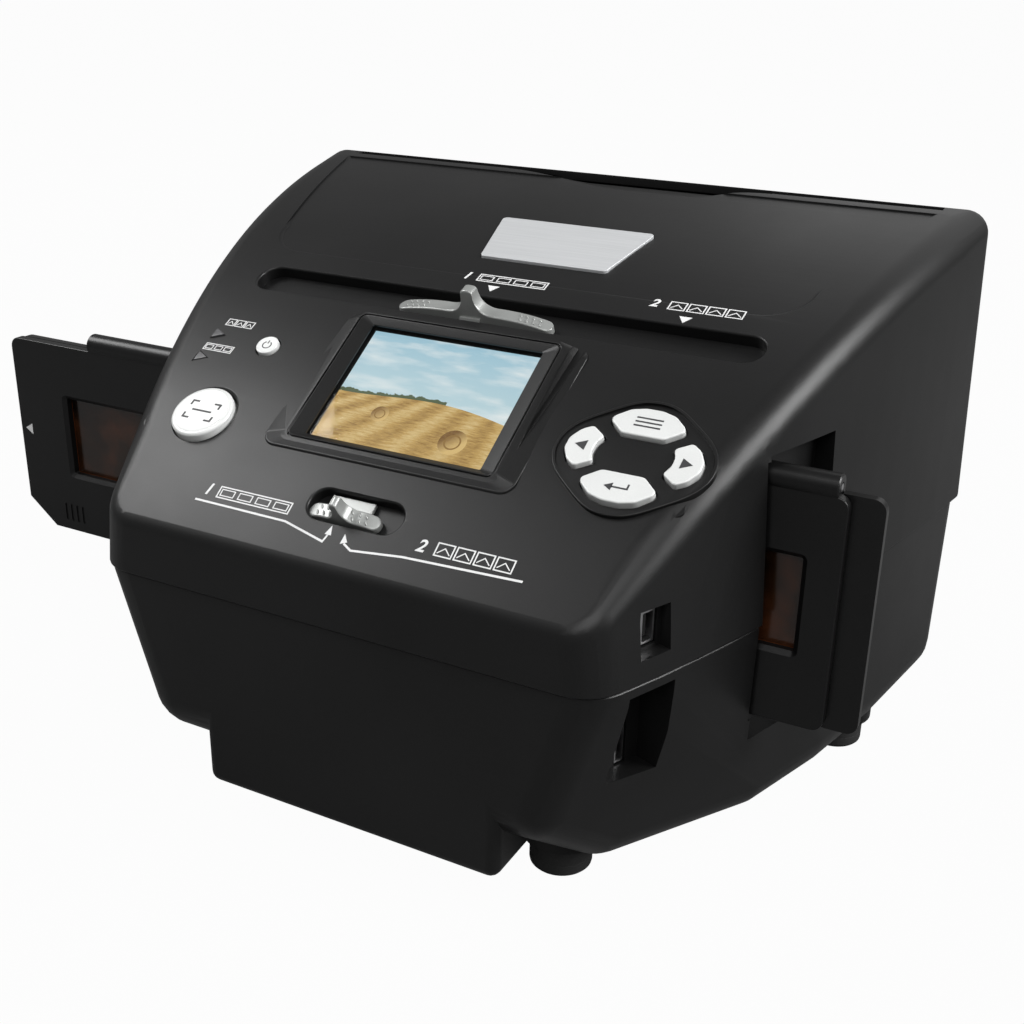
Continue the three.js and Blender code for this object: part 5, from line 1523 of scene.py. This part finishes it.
def makeSocket(name, form, replaced, shellMaterial):
    y0, y1 = socketSides(form)
    middle = (y0 + y1) / 2
    body = block(form["first"], form["outer"], y0, y1, form["low"], form["high"], 0.35, 3)
    mouth = block(form["outer"] - mouthForm["deep"], form["outer"] + overrun, middle - form["mouth"] / 2,
                  middle + form["mouth"] / 2, form["low"] + mouthForm["wall"],
                  form["high"] - mouthForm["wall"], 0.25, 2)
    place = onRightWall(cardRecess["y"])
    newPiece(name, placed(combine(body, [mouth]), place), shellMaterial, "casing", [replaced])
    thin = tongue["thin"] / 2
    low, high = form["low"] + tongue["inset"], form["high"] - tongue["inset"]
    insert = block(form["outer"] - tongue["back"], form["outer"] - tongue["front"], middle - thin,
                   middle + thin, low, high, 0.15, 2)
    newPiece(name + "Tongue", placed(insert, place), innerPlastic, "casing")
    pitch = (high - low - 2 * contact["margin"]) / contact["count"]
    strips = []
    for i in range(contact["count"]):
        start = low + contact["margin"] + (i + 0.25) * pitch
        strips.append(block(form["outer"] - contact["back"], form["outer"] - contact["front"],
                            middle - thin - contact["proud"], middle - thin + contact["sunk"],
                            start, start + pitch * 0.5))
    newPiece(name + "Contacts", placed(gathered(strips), place), plateMetal, "casing")


def joinedName(name):
    return name.title().replace("_", "")


def makeFeet():
    for (x, y), name in zip(foot["places"], corners):
        r, high = foot["radius"], foot["high"]
        profile = [(0.0, 0.35), (r - 2.2, 0.35), (r - 1.9, 0.0), (r - 1.1, 0.0), (r - 0.5, 0.15),
                   (r - 0.12, 0.55), (r, 1.1), (r, 3.0), (r - 0.12, 3.2), (r, 3.4), (r, high - 0.3),
                   (r - 0.3, high), (0.0, high)]
        whole = placed(spun(profile, 64), Matrix.Translation((x, y, 0)))
        newPiece("foot" + joinedName(name), whole, footRubber, "casing", ["foot_" + name])


def makeScrews():
    s = screw
    for (x, y), name in zip(s["places"], corners):
        low = s["at"] - s["headHigh"]
        head, high, radius, long = s["head"], s["headHigh"], s["radius"], s["top"] - low
        profile = [(0.0, 0.0), (head - 0.9, 0.06), (head - 0.3, 0.4), (head, 1.0), (head, high),
                   (radius, high), (radius, long - 0.5), (radius - 0.5, long), (0.0, long)]
        half, thin, deep = s["crossHalf"], s["crossWide"] / 2, s["crossDeep"]
        cross = [block(-half, half, -thin, thin, -1.0, deep), block(-thin, thin, -half, half, -1.0, deep)]
        whole = placed(combine(spun(profile, 40), cross), Matrix.Translation((x, y, low)))
        newPiece("screw" + joinedName(name), whole, screwSteel, "casing", ["screw_" + name])


def makeBadgePlate():
    outline = plateOutline()
    low = -recess["depth"] - plate["depth"] + seat
    form = placed(raised(outline, low, low + plate["thick"], 0.22, 4), onDeck(plate["x"], plate["y"]))
    newPiece("deckPlate", form, plateMetal, "casing", ["name_plate"])


# The inner pieces keep the frame's shapes and get their own finish

carried = [
    (brightSteel, ["holder_pin", "upper_rail", "lower_rail"]),
    (circuitMask, ["screen_board", "left_key_board", "right_key_board", "backlight_board", "sensor_board",
                   "port_board", "main_board"]),
    (innerPlastic, ["backlight_carriage", "optical_frame", "lens_barrel", "photo_guide_right",
                    "photo_guide_left"]),
    (opalSheet, ["backlight_diffuser"]),
    (lensCoating, ["lens_glass"]),
]


def finishCarried():
    for material, names in carried:
        for name in names:
            for place in bpy.data.objects[name].material_slots:
                place.material = material


def makeStage():
    bm = bmesh.new()
    bmesh.ops.create_grid(bm, x_segments=2, y_segments=2, size=14.0)
    mesh = bpy.data.meshes.new("floor")
    bm.to_mesh(mesh)
    bm.free()
    mesh.materials.append(floorPaint)
    made = bpy.data.objects.new("floor", mesh)
    scene.collection.objects.link(made)
    world = scene.world or bpy.data.worlds.new("room")
    scene.world = world
    world.use_nodes = True
    world.node_tree.nodes.clear()
    wire = Wire(world.node_tree)
    path = wire.node("ShaderNodeLightPath", None, None, "Is Camera Ray")
    glossy = Wire(wire.tree, path.socket.node.outputs["Is Glossy Ray"])
    through = Wire(wire.tree, path.socket.node.outputs["Is Transmission Ray"])
    room = wire.node("ShaderNodeBackground", None, {"Color": grey(0.9), "Strength": 0.19})
    white = wire.node("ShaderNodeBackground", None, {"Color": grey(1.0), "Strength": 1.0})
    share = (path + glossy * 0.08 + through).clamp()
    shader = wire.node("ShaderNodeMixShader", None, {0: share, 1: room, 2: white})
    wire.node("ShaderNodeOutputWorld", None, {"Surface": shader})
    scene.view_settings.view_transform = "Standard"


makeScreenFrame()
makeScreen()
scanTop = makeRoundKey("scanKey", scanKey, leftPanel, "scan_key", "scan_button")
powerTop = makeRoundKey("powerKey", powerKey, leftPanel, "power_key", "power_button")
makeRingKeys()
makeLights()
print("controls made")
makeLevers()
makeHolder()
print("levers and film holder made")
makeSocket("cardSocket", cardSocket, "card_socket", brightSteel)
makeSocket("plugSocket", usbSocket, "usb_socket", brightSteel)
makeFeet()
makeScrews()
makeBadgePlate()
makeDeckSigns()
makeKeySigns(scanTop, powerTop)
finishCarried()
makeStage()
print("small pieces and stage made")
